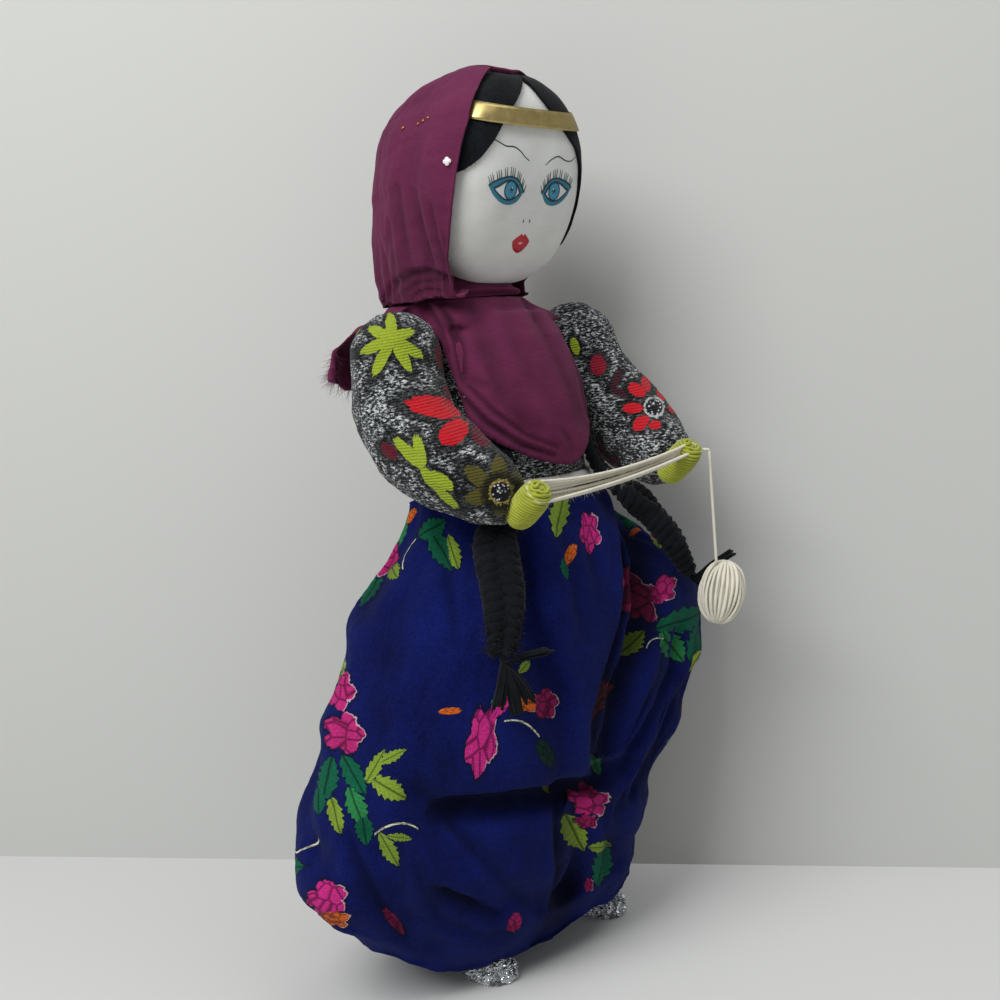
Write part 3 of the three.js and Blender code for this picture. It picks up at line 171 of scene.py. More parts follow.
def yarn(line, radius, sides=8, plies=2, twist=0.0045, taper=None):
    """Corners and faces of a spun yarn on a line of points in metres.
    twist is the length in which the plies turn once round each other."""
    line = np.asarray(line, float)
    steps = np.linalg.norm(np.diff(line, axis=0), axis=1)
    along = np.concatenate(([0], np.cumsum(steps)))
    tangent = np.gradient(line, axis=0)
    tangent /= np.linalg.norm(tangent, axis=1)[:, None] + 1e-12
    normal = np.cross(tangent[0], (0.31, 0.62, 0.71))
    corners = np.empty((len(line), sides, 3))
    around = 2 * np.pi * np.arange(sides) / sides
    for k, middle in enumerate(line):
        normal = normal - tangent[k] * (normal @ tangent[k])
        normal /= np.linalg.norm(normal)
        across = np.cross(tangent[k], normal)
        spun = 2 * np.pi * along[k] / twist
        thick = radius if taper is None else radius * taper(along[k] / along[-1])
        lobed = thick * (0.80 + 0.20 * np.abs(np.cos(plies * (around - spun) / 2)))
        corners[k] = (middle + np.outer(lobed * np.cos(around), normal)
                      + np.outer(lobed * np.sin(around), across))
    return corners.reshape(-1, 3), grid_faces(len(line), sides, capped=True)


def wool_finish(name, shade, light, dark, sheen=0.3):
    """Knitting wool: matt, soft spun fibre whose hairs run with the strand and catch the light."""
    material, tree, surface = finish_called(name, 0.95, sheen=sheen)
    place = node(tree, "TexCoord", {}).outputs["Object"]
    fibre = node(tree, "TexNoise", {"Vector": place, "Scale": 1500, "Detail": 3})  # 0.7 mm
    patch = node(tree, "TexNoise", {"Vector": place, "Scale": 160, "Detail": 2})
    tone = node(tree, "Mix", {0: patch.outputs[0], 6: linear(dark), 7: linear(light)},
                data_type="RGBA")
    strength = node(tree, "MapRange", {0: fibre.outputs[0], 1: 0.35, 2: 0.65})
    node(tree, "Mix", {0: strength.outputs[0], 6: linear(shade), 7: tone.outputs[2]},
         {2: surface.inputs["Base Color"]}, data_type="RGBA")
    node(tree, "Bump", {"Height": fibre.outputs[0], "Strength": 0.5, "Distance": 0.0004},
         {0: surface.inputs["Normal"]})
    return material


cream_wool = wool_finish("cream_spun_wool", "#d9d4c4", "#f1eddf", "#b5ae9b")
strand_radius = 0.0008
hand_lift = math.radians(38)
hand_way = np.array((0, -math.cos(hand_lift), math.sin(hand_lift)))
hand_place = {"right": placed((-50.6, -73.7, 243.5)), "left": placed((50.6, -73.7, 251))}
strand_top = placed((60.7, -84.8, 255.0))
strand_length = 0.0564
strand_line = [strand_top - np.array((0, 0, strand_length * t)) for t in np.linspace(0, 1, 64)]
corners, faces = yarn(strand_line, strand_radius)
free_strand = mesh_piece("free_wool_strand", corners, faces, cream_wool)
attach(free_strand, "wool_ball")
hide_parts("hanging_strand")

# Skein: one strand of the same wool carried five times round both raised hands, loop beside
# loop, with the slack of soft wool and a haze of loose hairs round it.
def several(parts):
    """One list of corners and one of faces from several yarns."""
    corners, faces, count = [], [], 0
    for part_corners, part_faces in parts:
        corners.append(part_corners)
        faces += [tuple(i + count for i in face) for face in part_faces]
        count += len(part_corners)
    return np.concatenate(corners), faces


def mixed(t, low, high, first, last):
    """What lies at t on the way from first, at low, to last, at high."""
    return (high - t) / (high - low) * first + (t - low) / (high - low) * last


def smooth_line(points, count):
    """Even points on a smooth curve through the given ones."""
    points = np.asarray(points, float)
    steps = np.sqrt(np.linalg.norm(np.diff(points, axis=0), axis=1))
    at = np.concatenate(([0], np.cumsum(steps)))
    before = 2 * points[0] - points[1]
    after = 2 * points[-1] - points[-2]
    line = np.vstack((before, points, after))
    times = np.concatenate(([at[0] - steps[0]], at, [at[-1] + steps[-1]]))
    fine = []
    for t in np.linspace(at[0], at[-1], count * 4):
        k = min(max(int(np.searchsorted(times, t, side="right")) - 1, 1), len(line) - 3)
        t0, t1, t2, t3 = times[k - 1:k + 3]
        p0, p1, p2, p3 = line[k - 1:k + 3]
        straight = mixed(t, t1, t2, p1, p2)
        from_before = mixed(t, t0, t2, mixed(t, t0, t1, p0, p1), straight)
        from_after = mixed(t, t1, t3, straight, mixed(t, t2, t3, p2, p3))
        fine.append(mixed(t, t1, t2, from_before, from_after))
    fine = np.array(fine)
    far = np.concatenate(([0], np.cumsum(np.linalg.norm(np.diff(fine, axis=0), axis=1))))
    even = np.linspace(0, far[-1], count)
    return np.stack([np.interp(even, far, fine[:, i]) for i in range(3)], axis=-1)


def stray_hairs(spots, ways, length, radius, seed):
    """Loose fibres that stand off a yarn or a cloth: a few curved, pointed hairs."""
    chance = random.Random(seed)
    parts = []
    for spot, way in zip(spots, ways):
        bend = Vector([chance.uniform(-1, 1) for _ in range(3)])
        reach = length * chance.uniform(0.5, 1.0)
        out = (Vector(way) + 0.8 * bend).normalized()
        curl = out.cross(bend).normalized() * reach * 0.35
        line = [Vector(spot) + out * reach * t + curl * t * t for t in (-0.1, 0.35, 0.7, 1)]
        parts.append(yarn(line, radius, sides=3, plies=1, taper=lambda t: 1.05 - t))
    return several(parts)


# radius of the loops at each hand, how far up the hand they start, and from turn to turn
skein_ends = {"right": (0.0056, 0.0056, 0.0021), "left": (0.0022, 0.0096, 0.0009)}
skein_loops, skein_sag, skein_radius = 5, 0.0028, 0.00078
loose_share, loop_step = 0.0009, 0.2
skein_across = np.cross(hand_way, (1, 0, 0))
skein_across /= np.linalg.norm(skein_across)
arc_steps, run_steps = 20, 90
skein_line = []
for k in range(arc_steps // 2, skein_loops * 2 * (arc_steps + run_steps) + 1):
    half, step = divmod(k, arc_steps + run_steps)
    out = 1 if half % 2 == 0 else -1
    near, far = ("left", "right") if half % 2 == 0 else ("right", "left")
    turns = k / (2 * (arc_steps + run_steps))
    share = max(0.0, (step - arc_steps) / run_steps)
    bow = 4 * share * (1 - share)
    radius, shift, pitch = [(1 - share) * a + share * b
                            for a, b in zip(skein_ends[near], skein_ends[far])]
    radius *= 1 - loop_step * (half // 2)  # each loop lies inside the one before
    middle = hand_place[near] * (1 - share) + hand_place[far] * share
    if step <= arc_steps:
        angle = math.pi * (step / arc_steps - 0.5)
        middle = middle + out * radius * (math.cos(angle) * np.array((1, 0, 0))
                                          + math.sin(angle) * skein_across)
    else:
        loose = loose_share * bow * math.sin(2.3 * half + 1)
        middle = middle + out * radius * (1 - 0.25 * bow) * skein_across
        middle = middle - np.array((0, 0, skein_sag * bow + loose)) + loose * hand_way
    skein_line.append(middle + hand_way * (shift - pitch * (turns - skein_loops / 2)))
lead = [skein_line[-1], hand_place["left"] + hand_way * 0.006 + (0.0072, 0, 0.0005),
        strand_top + (-0.002, 0.0014, 0.001), strand_top + (-0.0003, 0.0001, 0.0006), strand_top]
skein_line.extend(smooth_line(lead, 40)[1:])
wound = yarn(skein_line, skein_radius)
chance = random.Random(11)
skein_hairs, yarn_hair = 1300, 0.00005  # how many, and a hair's radius
picked = [chance.randrange(40, len(skein_line) - 40) for _ in range(skein_hairs)]
ways = [(chance.uniform(-1, 1), chance.uniform(-1, 1), chance.uniform(-1, 1)) for _ in picked]
haze = stray_hairs([skein_line[i] for i in picked], ways, 0.0046, yarn_hair, 12)
corners, faces = several([wound, haze])
skein = mesh_piece("wool_skein_loops", corners, faces, cream_wool)
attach(skein, "right_arm")
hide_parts("wool_skein")

# Hands: the same knitting wool in lime green, wound turn upon turn round a padded wire loop.
# The inner turns run one way and the outer ones lie across them at a slant.
green_wool = wool_finish("lime_spun_wool", "#9ba22b", "#c0c64a", "#6d7418")
hand_half, hand_radius = 0.0135, 0.0076
end_rings, ring_step, hand_hairs = 4, 0.00125, 220


def bean(share, radius, power=3.2):
    """Radius of a long round-ended bean at a share of its half length from the middle."""
    return radius * max(0.0, 1 - abs(share) ** power) ** (1 / power)


def rounds(middle, axis, half, radius_at, turns, steps_per_turn, slant=0.0, start=0.0):
    """Centres of a winding round an axis. slant leans its turns, in half lengths."""
    across = np.cross(axis, (0.2, 0.9, 0.4))
    across /= np.linalg.norm(across)
    up = np.cross(axis, across)
    line = []
    for k in range(int(turns * steps_per_turn) + 1):
        angle = 2 * math.pi * k / steps_per_turn + start
        share = -1 + 2 * k / (turns * steps_per_turn) + slant * math.sin(angle)
        share = max(-0.985, min(0.985, share))
        line.append(middle + axis * half * share + radius_at(share)
                    * (math.cos(angle) * across + math.sin(angle) * up))
    return line


for name in ("right", "left"):
    middle = hand_place[name]
    lower = yarn(rounds(middle, hand_way, hand_half * 0.93,
                        lambda s: bean(s, hand_radius - 0.0016) + 0.0002, 19, 20), 0.00078, sides=6)
    upper = yarn(rounds(middle, hand_way, hand_half * 0.95,
                        lambda s: bean(s, hand_radius - 0.0008) + 0.0001, 17, 22, slant=0.16),
                 0.00076, sides=8)
    ends = []
    for sign in (-1, 1):
        tip = middle + hand_way * sign * (hand_half - 0.0012)
        for ring in range(end_rings):
            spread = 0.0004 + ring_step * ring
            curl = [tip - hand_way * sign * (0.00012 + 0.9 * spread ** 2 / hand_radius)
                    + spread * (math.cos(a) * skein_across + math.sin(a) * np.array((1.0, 0, 0)))
                    for a in np.linspace(0, 2 * math.pi, 18)]
            ends.append(yarn(curl, 0.0007, sides=6))
    picked = [chance.randrange(20, 300) for _ in range(hand_hairs)]
    round_line = rounds(middle, hand_way, hand_half, lambda s: bean(s, hand_radius), 16, 20)
    ways = [round_line[i] - middle for i in picked]
    hairs = stray_hairs([round_line[i] for i in picked], ways, 0.0022, yarn_hair, 21)
    corners, faces = several([lower, upper, *ends, hairs])
    hand = mesh_piece(f"{name}_hand_wool", corners, faces, green_wool)
    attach(hand, f"{name}_arm")
    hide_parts(f"{name}_hand_winding")

# Ball of wool: the strand's other end, wound end over end so that the turns cross at the
# ball's poles and fan out between them.
ball_middle = placed((63.3, -84.8, 255.3 - 57 - 14.3))
ball_axis = np.array((0.34, 0, 0.94))
ball_axis /= np.linalg.norm(ball_axis)
ball_half, ball_radius = 0.0152, 0.0108
ball_across = np.array((0.0, 1.0, 0.0))
ball_side = np.cross(ball_axis, ball_across)
parts = []
for layer, (turns, grow) in enumerate(((11, -0.0013), (13, 0.0))):
    line = []
    steps = 34
    for k in range(turns * steps):
        angle = 2 * math.pi * k / steps
        swing = math.pi * (k / (turns * steps)) + 0.5 * layer
        flat = (ball_radius + grow) * math.sin(angle)
        tall = (ball_half + grow) * math.cos(angle)
        skew = 0.0016 * math.sin(7 * swing)
        line.append(ball_middle + ball_axis * (tall + skew * math.sin(angle))
                    + flat * (math.cos(swing) * ball_across + math.sin(swing) * ball_side))
    parts.append(yarn(line, 0.0009, sides=7))
corners, faces = several(parts)
ball = mesh_piece("wool_ball_turns", corners, faces, cream_wool)
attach(ball, "wool_ball")
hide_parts("yarn_ball_winding")

# Stuffed head: white cotton drawn tight over wadding, flat in front and round behind, bowed
# forward on the neck. The CAD head's own curves are followed in finer steps.
head_joint = np.array((0, 14, 336.0))
head_tilt = math.radians(18)
head_middle_rise, head_half_width, head_half_height = 64, 42.5, 50
face_depth, head_back = 33, 45


def bowed(points):
    """Points of the upright head, bowed forward and put in the frame."""
    x, y, z = np.moveaxis(np.asarray(points, float), -1, 0)
    turned = np.stack((x, y * math.cos(head_tilt) - z * math.sin(head_tilt),
                       y * math.sin(head_tilt) + z * math.cos(head_tilt)), axis=-1)
    return placed(turned + head_joint)


def rounded(value, power):
    """A cosine or sine drawn towards a rounded square."""
    return np.sign(value) * np.abs(value) ** (2 / power)


def head_skin(angle, rise, grow):
    """The head's surface at angles round it and heights up it, larger by grow, in mm."""
    share = np.clip((rise - head_middle_rise) / (head_half_height + grow), -0.9995, 0.9995)
    power = np.where(share < 0, 2.6, 2.05)
    profile = (1 - np.abs(share) ** power) ** (1 / power)
    chin = 4.5 * np.maximum(0, -share) ** 1.5
    front = np.sin(angle) < 0
    depth = np.where(front, (face_depth + grow) * profile ** 0.6 - chin * profile,
                     (head_back + grow) * profile)
    corner = np.where(front, 3.6, 2.2)
    wide = (head_half_width + grow) * profile
    return np.stack((wide * rounded(np.cos(angle), corner),
                     depth * rounded(np.sin(angle), corner), rise + 0 * angle), axis=-1)


def unit(ways):
    """Ways, in rows, made one unit long."""
    return ways / np.linalg.norm(ways, axis=1)[:, None]


def ripples(points, size, seed, count=18):
    """Smooth chance waves about one unit high, of about the given size in metres."""
    draw = np.random.default_rng(seed)
    waves = draw.normal(size=(3, count)) * (2 * np.pi / size) * 0.6
    phase = draw.uniform(0, 2 * np.pi, count)
    return np.cos(np.asarray(points) @ waves + phase).sum(axis=1) / math.sqrt(count)


def weave(tree, place, pitch, unevenness):
    """Height of a plain weave, pitch metres from thread to thread. A band of the wave texture
    is 0.314 long at scale 1."""
    threads = [node(tree, "TexWave", {"Vector": place, "Scale": 0.314 / pitch,
                                      "Distortion": unevenness}, bands_direction=way)
               for way in ("X", "Z")]
    return node(tree, "Math", {0: threads[0].outputs["Fac"], 1: threads[1].outputs["Fac"]},
                operation="ADD").outputs[0]


def cotton_finish(name, shade, grain):
    """Plain-woven cotton: matt, its threads 0.35 mm apart, drawn at grain metres to show."""
    material, tree, surface = finish_called(name, 0.9, sheen=0.15)
    place = node(tree, "TexCoord", {}).outputs["Object"]
    soil = node(tree, "TexNoise", {"Vector": place, "Scale": 34, "Detail": 4, "Roughness": 0.6})
    level_of = node(tree, "MapRange", {0: soil.outputs[0], 1: 0.3, 2: 0.7})
    worn = [c * 0.86 for c in linear(shade)[:3]] + [1]
    node(tree, "Mix", {0: level_of.outputs[0], 6: worn, 7: linear(shade)},
         {2: surface.inputs["Base Color"]}, data_type="RGBA")
    node(tree, "Bump", {"Height": weave(tree, place, grain, 0.6), "Strength": 0.25,
                        "Distance": 0.0002}, {0: surface.inputs["Normal"]})
    return material


face_cotton = cotton_finish("white_face_cotton", "#e2e3e0", 0.0007)
head_rows, head_columns = 150, 220
rise = head_middle_rise - head_half_height * np.cos(np.pi * np.linspace(0.012, 0.988, head_rows))
angle = 2 * np.pi * np.arange(head_columns) / head_columns
skin = bowed(head_skin(angle[None, :], rise[:, None], 0.0)).reshape(-1, 3)
head_centre = bowed((0, 0, head_middle_rise))
outward = unit(skin - head_centre)
skin = skin + outward * (0.00025 * ripples(skin, 0.03, 3))[:, None]
head_faces = grid_faces(head_rows, head_columns, capped=True)
stuffed_head = mesh_piece("stuffed_head", skin, head_faces, face_cotton)
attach(stuffed_head, "head_and_hood")
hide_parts("head")
head_surface = BVHTree.FromPolygons([tuple(c) for c in skin], head_faces)

# Painted face: an ordinary doll's face in poster paint, laid on the cotton as films a fifth
# of a millimetre thick. Places are millimetres across the face and up from the chin's joint.
paint_height = 0.00012
face_forward = Vector(bowed((0, -1, 0)) - bowed((0, 0, 0))).normalized()


def on_face(x, rise, height=paint_height):
    """The point of the face in front of a place, and a little off the cloth."""
    start = Vector(bowed((x, -90, rise)))
    hit, normal, _, _ = head_surface.ray_cast(start, -face_forward)
    out = height if normal.dot(face_forward) > 0 else -height
    return np.array(hit) + np.array(normal) * out


def paint_finish(name, shade, gloss):
    """Poster paint that has sunk into cotton: nearly matt, a little uneven."""
    material, tree, surface = finish_called(name, gloss)
    place = node(tree, "TexCoord", {}).outputs["Object"]
    patch = node(tree, "TexNoise", {"Vector": place, "Scale": 900, "Detail": 2})
    deep = [c * 0.7 for c in linear(shade)[:3]] + [1]
    node(tree, "Mix", {0: patch.outputs[0], 6: deep, 7: linear(shade)},
         {2: surface.inputs["Base Color"]}, data_type="RGBA")
    return material


def film(upper, lower, across=5, height=paint_height):
    """Corners and faces of a film of paint between two lines of places on the face."""
    rows = [[on_face(*(np.array(a) + (np.array(b) - np.array(a)) * t), height)
             for a, b in zip(upper, lower)] for t in np.linspace(0, 1, across)]
    corners = np.array(rows).reshape(-1, 3)
    return corners, grid_faces(across, len(upper), closed=False)


def brush_line(points, widths, height=paint_height):
    """A brush stroke through places on the face, with its half width at each."""
    points, widths = np.asarray(points, float), np.asarray(widths, float)
    way = unit(np.gradient(points, axis=0))
    out = np.stack((-way[:, 1], way[:, 0]), axis=-1) * widths[:, None]
    return film(points + out, points - out, 3, height)


def flowing(points, count):
    """Even places on a smooth line through the given ones."""
    flat = smooth_line([(x, z, 0) for x, z in points], count)
    return flat[:, :2]


def deselect_all():
    """Leaves nothing selected."""
    for other in bpy.context.selected_objects:
        other.select_set(False)


def apply_modifier(piece, kind, **settings):
    """Adds a modifier with its settings and makes its shape the mesh."""
    step = piece.modifiers.new(kind.lower(), kind)
    for word, value in settings.items():
        setattr(step, word, value)
    deselect_all()
    bpy.context.view_layer.objects.active = piece
    piece.select_set(True)
    bpy.ops.object.modifier_apply(modifier=step.name)


@contextmanager
def mesh_open(piece):
    """A piece's mesh, open to be changed."""
    bm = bmesh.new()
    bm.from_mesh(piece.data)
    yield bm
    bm.to_mesh(piece.data)
    bm.free()


def painted(name, films, material):
    """One colour of the face: its films joined, given their thickness and put on the head."""
    corners, faces = several(films)
    layer = mesh_piece(name, corners, faces, material)
    with mesh_open(layer) as bm:
        bmesh.ops.remove_doubles(bm, verts=bm.verts, dist=1e-6)
        bmesh.ops.recalc_face_normals(bm, faces=bm.faces)
        for face in bm.faces:
            if face.normal.dot(face_forward) < 0:
                face.normal_flip()
    apply_modifier(layer, "SOLIDIFY", thickness=0.0002, offset=-1)
    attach(layer, "head_and_hood")
    return layer


teal_paint = paint_finish("teal_poster_paint", "#2b7f98", 0.6)
iris_paint = paint_finish("light_teal_poster_paint", "#3d93b4", 0.55)
line_paint = paint_finish("dark_line_paint", "#1d2f3a", 0.6)
white_paint = paint_finish("white_poster_paint", "#e6ebee", 0.55)
lip_paint = paint_finish("red_poster_paint", "#c01f2c", 0.5)
pale_paint = paint_finish("pale_pink_paint", "#e7a3a8", 0.5)
teal_films, iris_films, white_films, dark_films, glint_films = [], [], [], [], []
eye_corners = {"outer": (-12.4, 1.6), "inner": (8.4, -0.8)}
white_corners = {"outer": (-9.6, 0.4), "inner": (6.2, -1.4)}
eye_rings = [  # films, middle, half width and height outside and inside, rows, paint's height
    (iris_films, (0.2, -0.1), (3.7, 4.35), (0.3, 0.3), 5, 1.6),
    (dark_films, (0.2, -0.1), (3.9, 4.55), (3.35, 4.0), 2, 2.0),
    (teal_films, (0.5, 0.2), (1.35, 1.5), (0.1, 0.1), 3, 2.2),
    (dark_films, (0.5, 0.3), (0.7, 0.75), (0.05, 0.05), 2, 2.8),
    (glint_films, (0.9, 1.0), (0.28, 0.28), (0.04, 0.04), 2, 3.4),
]
lash_count, lid_steps = 17, 24
for side, eye_x, eye_rise in ((-1, -14.0, 64.2), (1, 14.6, 64.0)):

    def eye(points, side=side, eye_x=eye_x, eye_rise=eye_rise):
        """Places round this eye's middle, as places on the face."""
        return [(eye_x - side * x, eye_rise + z) for x, z in points]

    def lid_line(corners, between, eye=eye):
        """A smooth line from the eye's outer corner to its inner one."""
        return flowing(eye([corners["outer"], *between, corners["inner"]]), lid_steps)

    lid = lid_line(eye_corners, [(-9.6, 3.6), (-5.0, 5.4), (0, 6.1), (4.4, 4.6)])
    inner_lid = lid_line(white_corners, [(-7.0, 1.6), (-3.6, 3.6), (0, 4.3), (3.2, 3.0)])
    under = lid_line(eye_corners, [(-9.2, -2.8), (-4.6, -6.1), (0.4, -7.1), (5.0, -5.6)])
    inner_under = lid_line(white_corners, [(-7.0, -1.9), (-3.4, -4.2), (0, -4.8), (3.2, -3.8)])
    teal_films += [film(lid, inner_lid, 4), film(inner_under, under, 5)]
    white_films.append(film(inner_lid, inner_under, 7, paint_height * 0.6))
    for films, middle, outer, inner, rows, lift in eye_rings:
        lines = [eye([(middle[0] + wide * math.cos(a), middle[1] + tall * math.sin(a))
                      for a in np.linspace(0, 2 * np.pi, 29)]) for wide, tall in (outer, inner)]
        films.append(film(*lines, rows, paint_height * lift))
    for line, start, end, lift in ((inner_lid, 0.42, 0.42, 2.4), (inner_under, 0.25, 0.32, 2.4),
                                   (lid, 0.3, 0.3, 2.0)):
        dark_films.append(brush_line(line, np.linspace(start, end, lid_steps), paint_height * lift))
    for share in np.arange(lash_count) / (lash_count - 1):
        root = lid[int(1 + share * (lid_steps - 2))]
        lean = (share - 0.55) * 0.75 * -side
        reach = 4.4 - 2.0 * abs(share - 0.5)
        tip = root + np.array((lean * reach, reach))
        bend = (root + tip) / 2 + np.array((-0.15 * lean, 0.0))
        dark_films.append(brush_line(flowing([root - (0, 0.5), bend, tip], 6),
                                     np.linspace(0.24, 0.07, 6), paint_height * 1.4))
brows = ([(-26.6, 87.2), (-23.0, 86.0), (-17.8, 83.9), (-13.1, 83.7), (-9.4, 82.0), (-6.8, 79.7),
          (-3.7, 77.8)],
         [(6.9, 76.2), (10, 78.5), (14.9, 80.3), (20.5, 78.5), (24.8, 78.3), (28.5, 80)])
brow_widths = 0.12 + 0.16 * np.sin(np.linspace(0.25, 2.9, 30))
for brow in brows:
    dark_films.append(brush_line(flowing(brow, 30), brow_widths))
for x in (-2.2, 1.9):
    dark_films.append(brush_line([(x, 50.1), (x + 0.12, 49.3), (x, 48.6)], (0.2, 0.34, 0.2)))
lip_top = flowing([(-6.0, 39.4), (-4.2, 41.0), (-1.9, 42.4), (-0.9, 43.0), (0.0, 41.8), (0.9, 42.9),
                   (2.2, 41.9), (4.0, 40.4), (5.0, 39.0)], 28)
lip_foot = flowing([(-6.0, 39.4), (-5.4, 37.0), (-4.0, 34.9), (-1.8, 33.6), (-0.6, 33.3), (0.8, 33.7),
                    (2.8, 35.2), (4.2, 37.2), (5.0, 39.0)], 28)
lip_films = [film(lip_top, lip_foot, 6)]
glow_top = flowing([(-2.3, 38.4), (-0.9, 38.9), (0.9, 38.5)], 10)
glow_foot = flowing([(-2.3, 38.4), (-0.8, 37.6), (0.9, 38.5)], 10)
painted("eye_whites", white_films, white_paint)
painted("eye_lids", teal_films, teal_paint)
painted("eye_irises", iris_films, iris_paint)
painted("eye_glints", glint_films, white_paint)
painted("brows_and_lashes", dark_films, line_paint)
painted("lips", lip_films, lip_paint)
painted("lip_light", [film(glow_top, glow_foot, 3, paint_height * 2)], pale_paint)

# Hair: two swathes of black felt, 1.3 mm thick, glued over the forehead with a parting, their
# cut edges soft with loose fibre. The left one runs on down beside the face.
def felt_finish(name, shade, light):
    """Pressed wool felt: dead matt, mottled, with a nap that shows a little at grazing sight."""
    material, tree, surface = finish_called(name, 1.0, sheen=0.08)
    place = node(tree, "TexCoord", {}).outputs["Object"]
    nap = node(tree, "TexNoise", {"Vector": place, "Scale": 700, "Detail": 4})
    cloud = node(tree, "TexNoise", {"Vector": place, "Scale": 60, "Detail": 3})
    mottle = node(tree, "Math", {0: nap.outputs[0], 1: cloud.outputs[0]}, operation="MULTIPLY")
    strength = node(tree, "MapRange", {0: mottle.outputs[0], 1: 0.14, 2: 0.42})
    node(tree, "Mix", {0: strength.outputs[0], 6: linear(shade), 7: linear(light)},
         {2: surface.inputs["Base Color"]}, data_type="RGBA")
    node(tree, "Bump", {"Height": nap.outputs[0], "Strength": 0.6, "Distance": 0.0005},
         {0: surface.inputs["Normal"]})
    return material


def outward_faces(piece, inside):
    """Turns a sheet's faces away from a point inside it."""
    toward = Vector(inside)
    with mesh_open(piece) as bm:
        bmesh.ops.recalc_face_normals(bm, faces=bm.faces)
        if sum((f.calc_center_median() - toward).dot(f.normal) * f.calc_area() for f in bm.faces) < 0:
            bmesh.ops.reverse_faces(bm, faces=bm.faces)


sides = (("right", -1), ("left", 1))  # with the sign of x
black_felt = felt_finish("black_pressed_felt", "#07090c", "#14181d")
felt_stand_off, felt_thickness, felt_top, edge_fibres = 0.45, 0.0013, 113.4, 150
hair_edges = {
    "right": ([66, 71.7, 78, 85.9, 96.6, 106, 112.5, 118], [-44, -37, -31, -25, -18, -8, -0.5, -0.3]),
    "left": ([24, 36, 50, 62, 75, 84, 95, 104, 112.5, 118],
             [38.5, 36.8, 38.6, 37.6, 33.4, 27.5, 15, 7, 0.5, 0.3]),
}


def sheet_piece(name, corners, grid, material, inside, thickness, offset=-1, closed=True):
    """A thin sheet on a grid of corners, its faces turned away from a point inside it."""
    piece = mesh_piece(name, corners, grid_faces(*grid, closed=closed), material)
    outward_faces(piece, inside)
    apply_modifier(piece, "SOLIDIFY", thickness=thickness, offset=offset)
    return piece


def ring_at(skin_of, height, grow):
    """The outline of the head or of what lies on it at a height, as a function of the angle."""
    return lambda turns: skin_of(turns, np.full_like(turns, height), grow)


def angle_where(points_at, measure, target, low, high):
    """Angle between low and high at which a measure of the surface reaches its target."""
    tries = np.linspace(low, high, 400)
    values = measure(points_at(tries))
    order = np.argsort(values)
    return float(np.interp(target, values[order], tries[order]))


for name, side in sides:
    heights, inner_x = hair_edges[name]
    rows, columns = 90, 60
    levels = np.linspace(heights[0] + (3 if side < 0 else 0), felt_top, rows)
    sheet_rows = []
    for height in levels:
        at = ring_at(head_skin, height, felt_stand_off)
        edge_x = float(np.interp(height, heights, inner_x))
        reach = np.abs(at(np.array([np.pi if side < 0 else 0.0])))[0, 0]
        edge_x = side * min(side * edge_x, reach - 0.3)
        front_low, front_high = (np.pi, 1.5 * np.pi) if side < 0 else (1.5 * np.pi, 2 * np.pi)
        first = angle_where(at, lambda p: p[:, 0], edge_x, front_low, front_high)
        last = np.pi - 0.25 if side < 0 else 2 * np.pi + 0.25
        sheet_rows.append(bowed(at(np.linspace(first, last, columns))))
    sheet = np.array(sheet_rows).reshape(-1, 3)
    wave = 0.00012 * ripples(sheet, 0.012, 31)
    sheet = sheet + unit(sheet - head_centre) * wave[:, None]
    hair = sheet_piece(f"{name}_felt_hair", sheet, (rows, columns), black_felt, head_centre,
                       felt_thickness, offset=1, closed=False)
    apply_modifier(hair, "BEVEL", width=0.0004, segments=2, limit_method="ANGLE")
    edge = [np.array(r[0]) for r in sheet_rows[4:]]
    chosen = [edge[chance.randrange(len(edge))] for _ in range(edge_fibres)]
    ways = [p - head_centre + np.array([chance.uniform(-0.05, 0.05) for _ in range(3)])
            for p in chosen]
    ways = [w / np.linalg.norm(w) + np.array((-side * 1.6, 0, -0.4)) for w in ways]
    corners, faces = stray_hairs([p + (p - head_centre) * 0.02 for p in chosen], ways, 0.0022,
                                 yarn_hair, 41 + side)
    fringe = mesh_piece(f"{name}_hair_fibres", corners, faces, black_felt)
    for piece in (hair, fringe):
        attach(piece, "head_and_hood")
    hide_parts(f"hair_{name}")

# Gold band: a strip of thin gold-coloured foil, eight millimetres wide, bent round the
# forehead over the hair. It is stiff enough to keep a few flat stretches and creases.
gold_foil, tree, surface = finish_called("gold_coloured_foil", 0.3, metallic=0.9)
place = node(tree, "TexCoord", {}).outputs["Object"]
rub = node(tree, "TexNoise", {"Vector": place, "Scale": 220, "Detail": 5, "Roughness": 0.7})
node(tree, "Mix", {0: rub.outputs[0], 6: linear("#a08a4e"), 7: linear("#d2bf86")},
     {2: surface.inputs["Base Color"]}, data_type="RGBA")
node(tree, "MapRange", {0: rub.outputs[0], 1: 0.3, 2: 0.7, 3: 0.24, 4: 0.42},
     {0: surface.inputs["Roughness"]})
band_columns, band_rows = 90, 7
band_left, band_right = -41.5, 40.0
band_rise = ([-41, -18, 31, 40], [98.6, 97.7, 96.1, 96.0])
band_stand_off, band_half_width = 2.25, 4
strip = []
